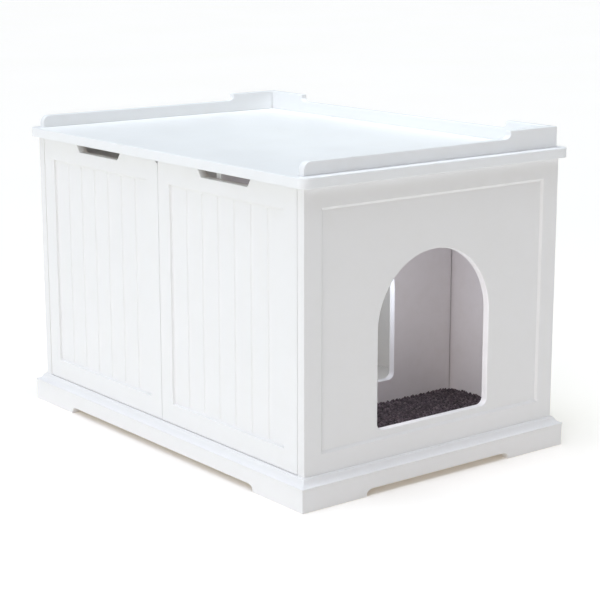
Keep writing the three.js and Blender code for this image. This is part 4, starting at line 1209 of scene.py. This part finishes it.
# ------------------------------------------------------------------ studio
def make_stage():
    me = bpy.data.meshes.new("studio_floor")
    bm = bmesh.new()
    grid = bmesh.ops.create_grid(bm, x_segments=2, y_segments=2, size=60.0)
    bm.to_mesh(me)
    bm.free()
    floor = bpy.data.objects.new("studio_floor", me)
    scene.collection.objects.link(floor)
    mat, nt, bsdf, co = new_material("studio_floor")
    cloud = noise(nt, co, 1.3, 3.0, 0.5)
    nt.links.new(blend_colour(nt, spread(nt, cloud, 0.3, 0.7), (0.93, 0.918, 0.895), (0.91, 0.899, 0.876)), bsdf.inputs["Base Color"])
    bsdf.inputs["Roughness"].default_value = 0.85
    bsdf.inputs["Specular IOR Level"].default_value = 0.2
    bsdf.inputs["Emission Color"].default_value = (1.0, 0.85, 0.66, 1.0)
    bsdf.inputs["Emission Strength"].default_value = 0.136
    me.materials.append(mat)


make_stage()


def make_light():
    world = bpy.data.worlds.new("studio")
    scene.world = world
    world.use_nodes = True
    nt = world.node_tree
    nt.nodes.clear()
    direction = nt.nodes.new("ShaderNodeTexCoord").outputs["Generated"]
    sep = nt.nodes.new("ShaderNodeSeparateXYZ")
    nt.links.new(direction, sep.inputs["Vector"])
    bg = nt.nodes.new("ShaderNodeBackground")
    # a little room light, cooler overhead
    up = spread(nt, sep.outputs["Z"], 0.0, 0.8, smooth=True)
    nt.links.new(blend_colour(nt, up, (0.008, 0.008, 0.008), (0.010, 0.010, 0.011)), bg.inputs["Color"])
    total = bg.outputs["Background"]

    def softbox(towards, inner, outer, colour, strength):
        v = Vector(towards).normalized()
        dot = nt.nodes.new("ShaderNodeVectorMath")
        dot.operation = "DOT_PRODUCT"
        nt.links.new(direction, dot.inputs[0])
        dot.inputs[1].default_value = v
        mask = spread(nt, dot.outputs["Value"], math.cos(math.radians(outer)), math.cos(math.radians(inner)), 0.0, strength, smooth=True)
        box = nt.nodes.new("ShaderNodeBackground")
        box.inputs["Color"].default_value = (*colour, 1.0)
        nt.links.new(mask, box.inputs["Strength"])
        add = nt.nodes.new("ShaderNodeAddShader")
        nt.links.new(total, add.inputs[0])
        nt.links.new(box.outputs["Background"], add.inputs[1])
        return add.outputs["Shader"]

    total = softbox((0.10, -0.42, 0.90), 16, 36, (0.826, 0.846, 1.0), 2.22)      # key, high in front of the doors
    total = softbox((0.55, -0.80, 0.25), 12, 30, (1.0, 0.909, 0.812), 1.50)     # low, in front and to the right
    total = softbox((-0.35, -0.90, 0.26), 16, 36, (0.87, 1.0, 0.98), 1.02)     # low, in front and to the left
    total = softbox((0.0, 0.1, 1.0), 15, 38, (0.926, 0.998, 1.0), 2.16)         # overhead
    total = softbox((0.0, 0.97, 0.20), 14, 32, (1.0, 0.99, 0.98), 0.50)       # behind the back
    out = nt.nodes.new("ShaderNodeOutputWorld")
    nt.links.new(total, out.inputs["Surface"])

    def lamp(name, at, towards, wide, tall, watts, colour):
        light = bpy.data.lights.new(name, "AREA")
        light.shape = "RECTANGLE"
        light.size, light.size_y = wide * MM, tall * MM
        light.energy = watts
        light.color = colour
        obj = bpy.data.objects.new(name, light)
        scene.collection.objects.link(obj)
        obj.location = Vector(at) * MM
        obj.rotation_mode = "QUATERNION"
        obj.rotation_quaternion = (-Vector(towards)).to_track_quat("Z", "Y")
        obj.visible_camera = False

    # a softbox hung low over the top
    lamp("over_top", (30.0, 130.0, 1150.0), (0, 0, -1), 620, 420, 1.68, (0.943, 1.0, 0.962))
    # soft fill inside, behind the arched end and behind the divider
    lamp("fill_entry", (310.0, -132.0, 225.0), (-0.45, 0.89, 0), 60, 220, 0.30, (0.985, 0.94, 1.0))
    lamp("fill_litter", (60.0, 20.0, 290.0), (0.0, 0.8, -0.6), 160, 120, 0.33, (0.80, 0.89, 1.0))


make_light()


def make_camera():
    cam = bpy.data.cameras.new("camera")
    cam.lens = 100.386
    cam.sensor_width = 36.0
    cam.clip_start, cam.clip_end = 0.05, 200.0
    obj = bpy.data.objects.new("camera", cam)
    scene.collection.objects.link(obj)
    az, el, roll = math.radians(51.993), math.radians(12.74), math.radians(-0.048)
    back = Vector((math.sin(az) * math.cos(el), -math.cos(az) * math.cos(el), math.sin(el)))
    target = Vector((0.0347, 0.0, 0.2098))
    obj.location = target + back * 2.6976
    obj.rotation_mode = "QUATERNION"
    obj.rotation_quaternion = back.to_track_quat("Z", "Y") @ Quaternion((0, 0, 1), roll)
    scene.camera = obj


make_camera()

scene.view_settings.view_transform = "Standard"
scene.view_settings.look = "None"
scene.view_settings.exposure = 0.0
scene.view_settings.gamma = 1.0
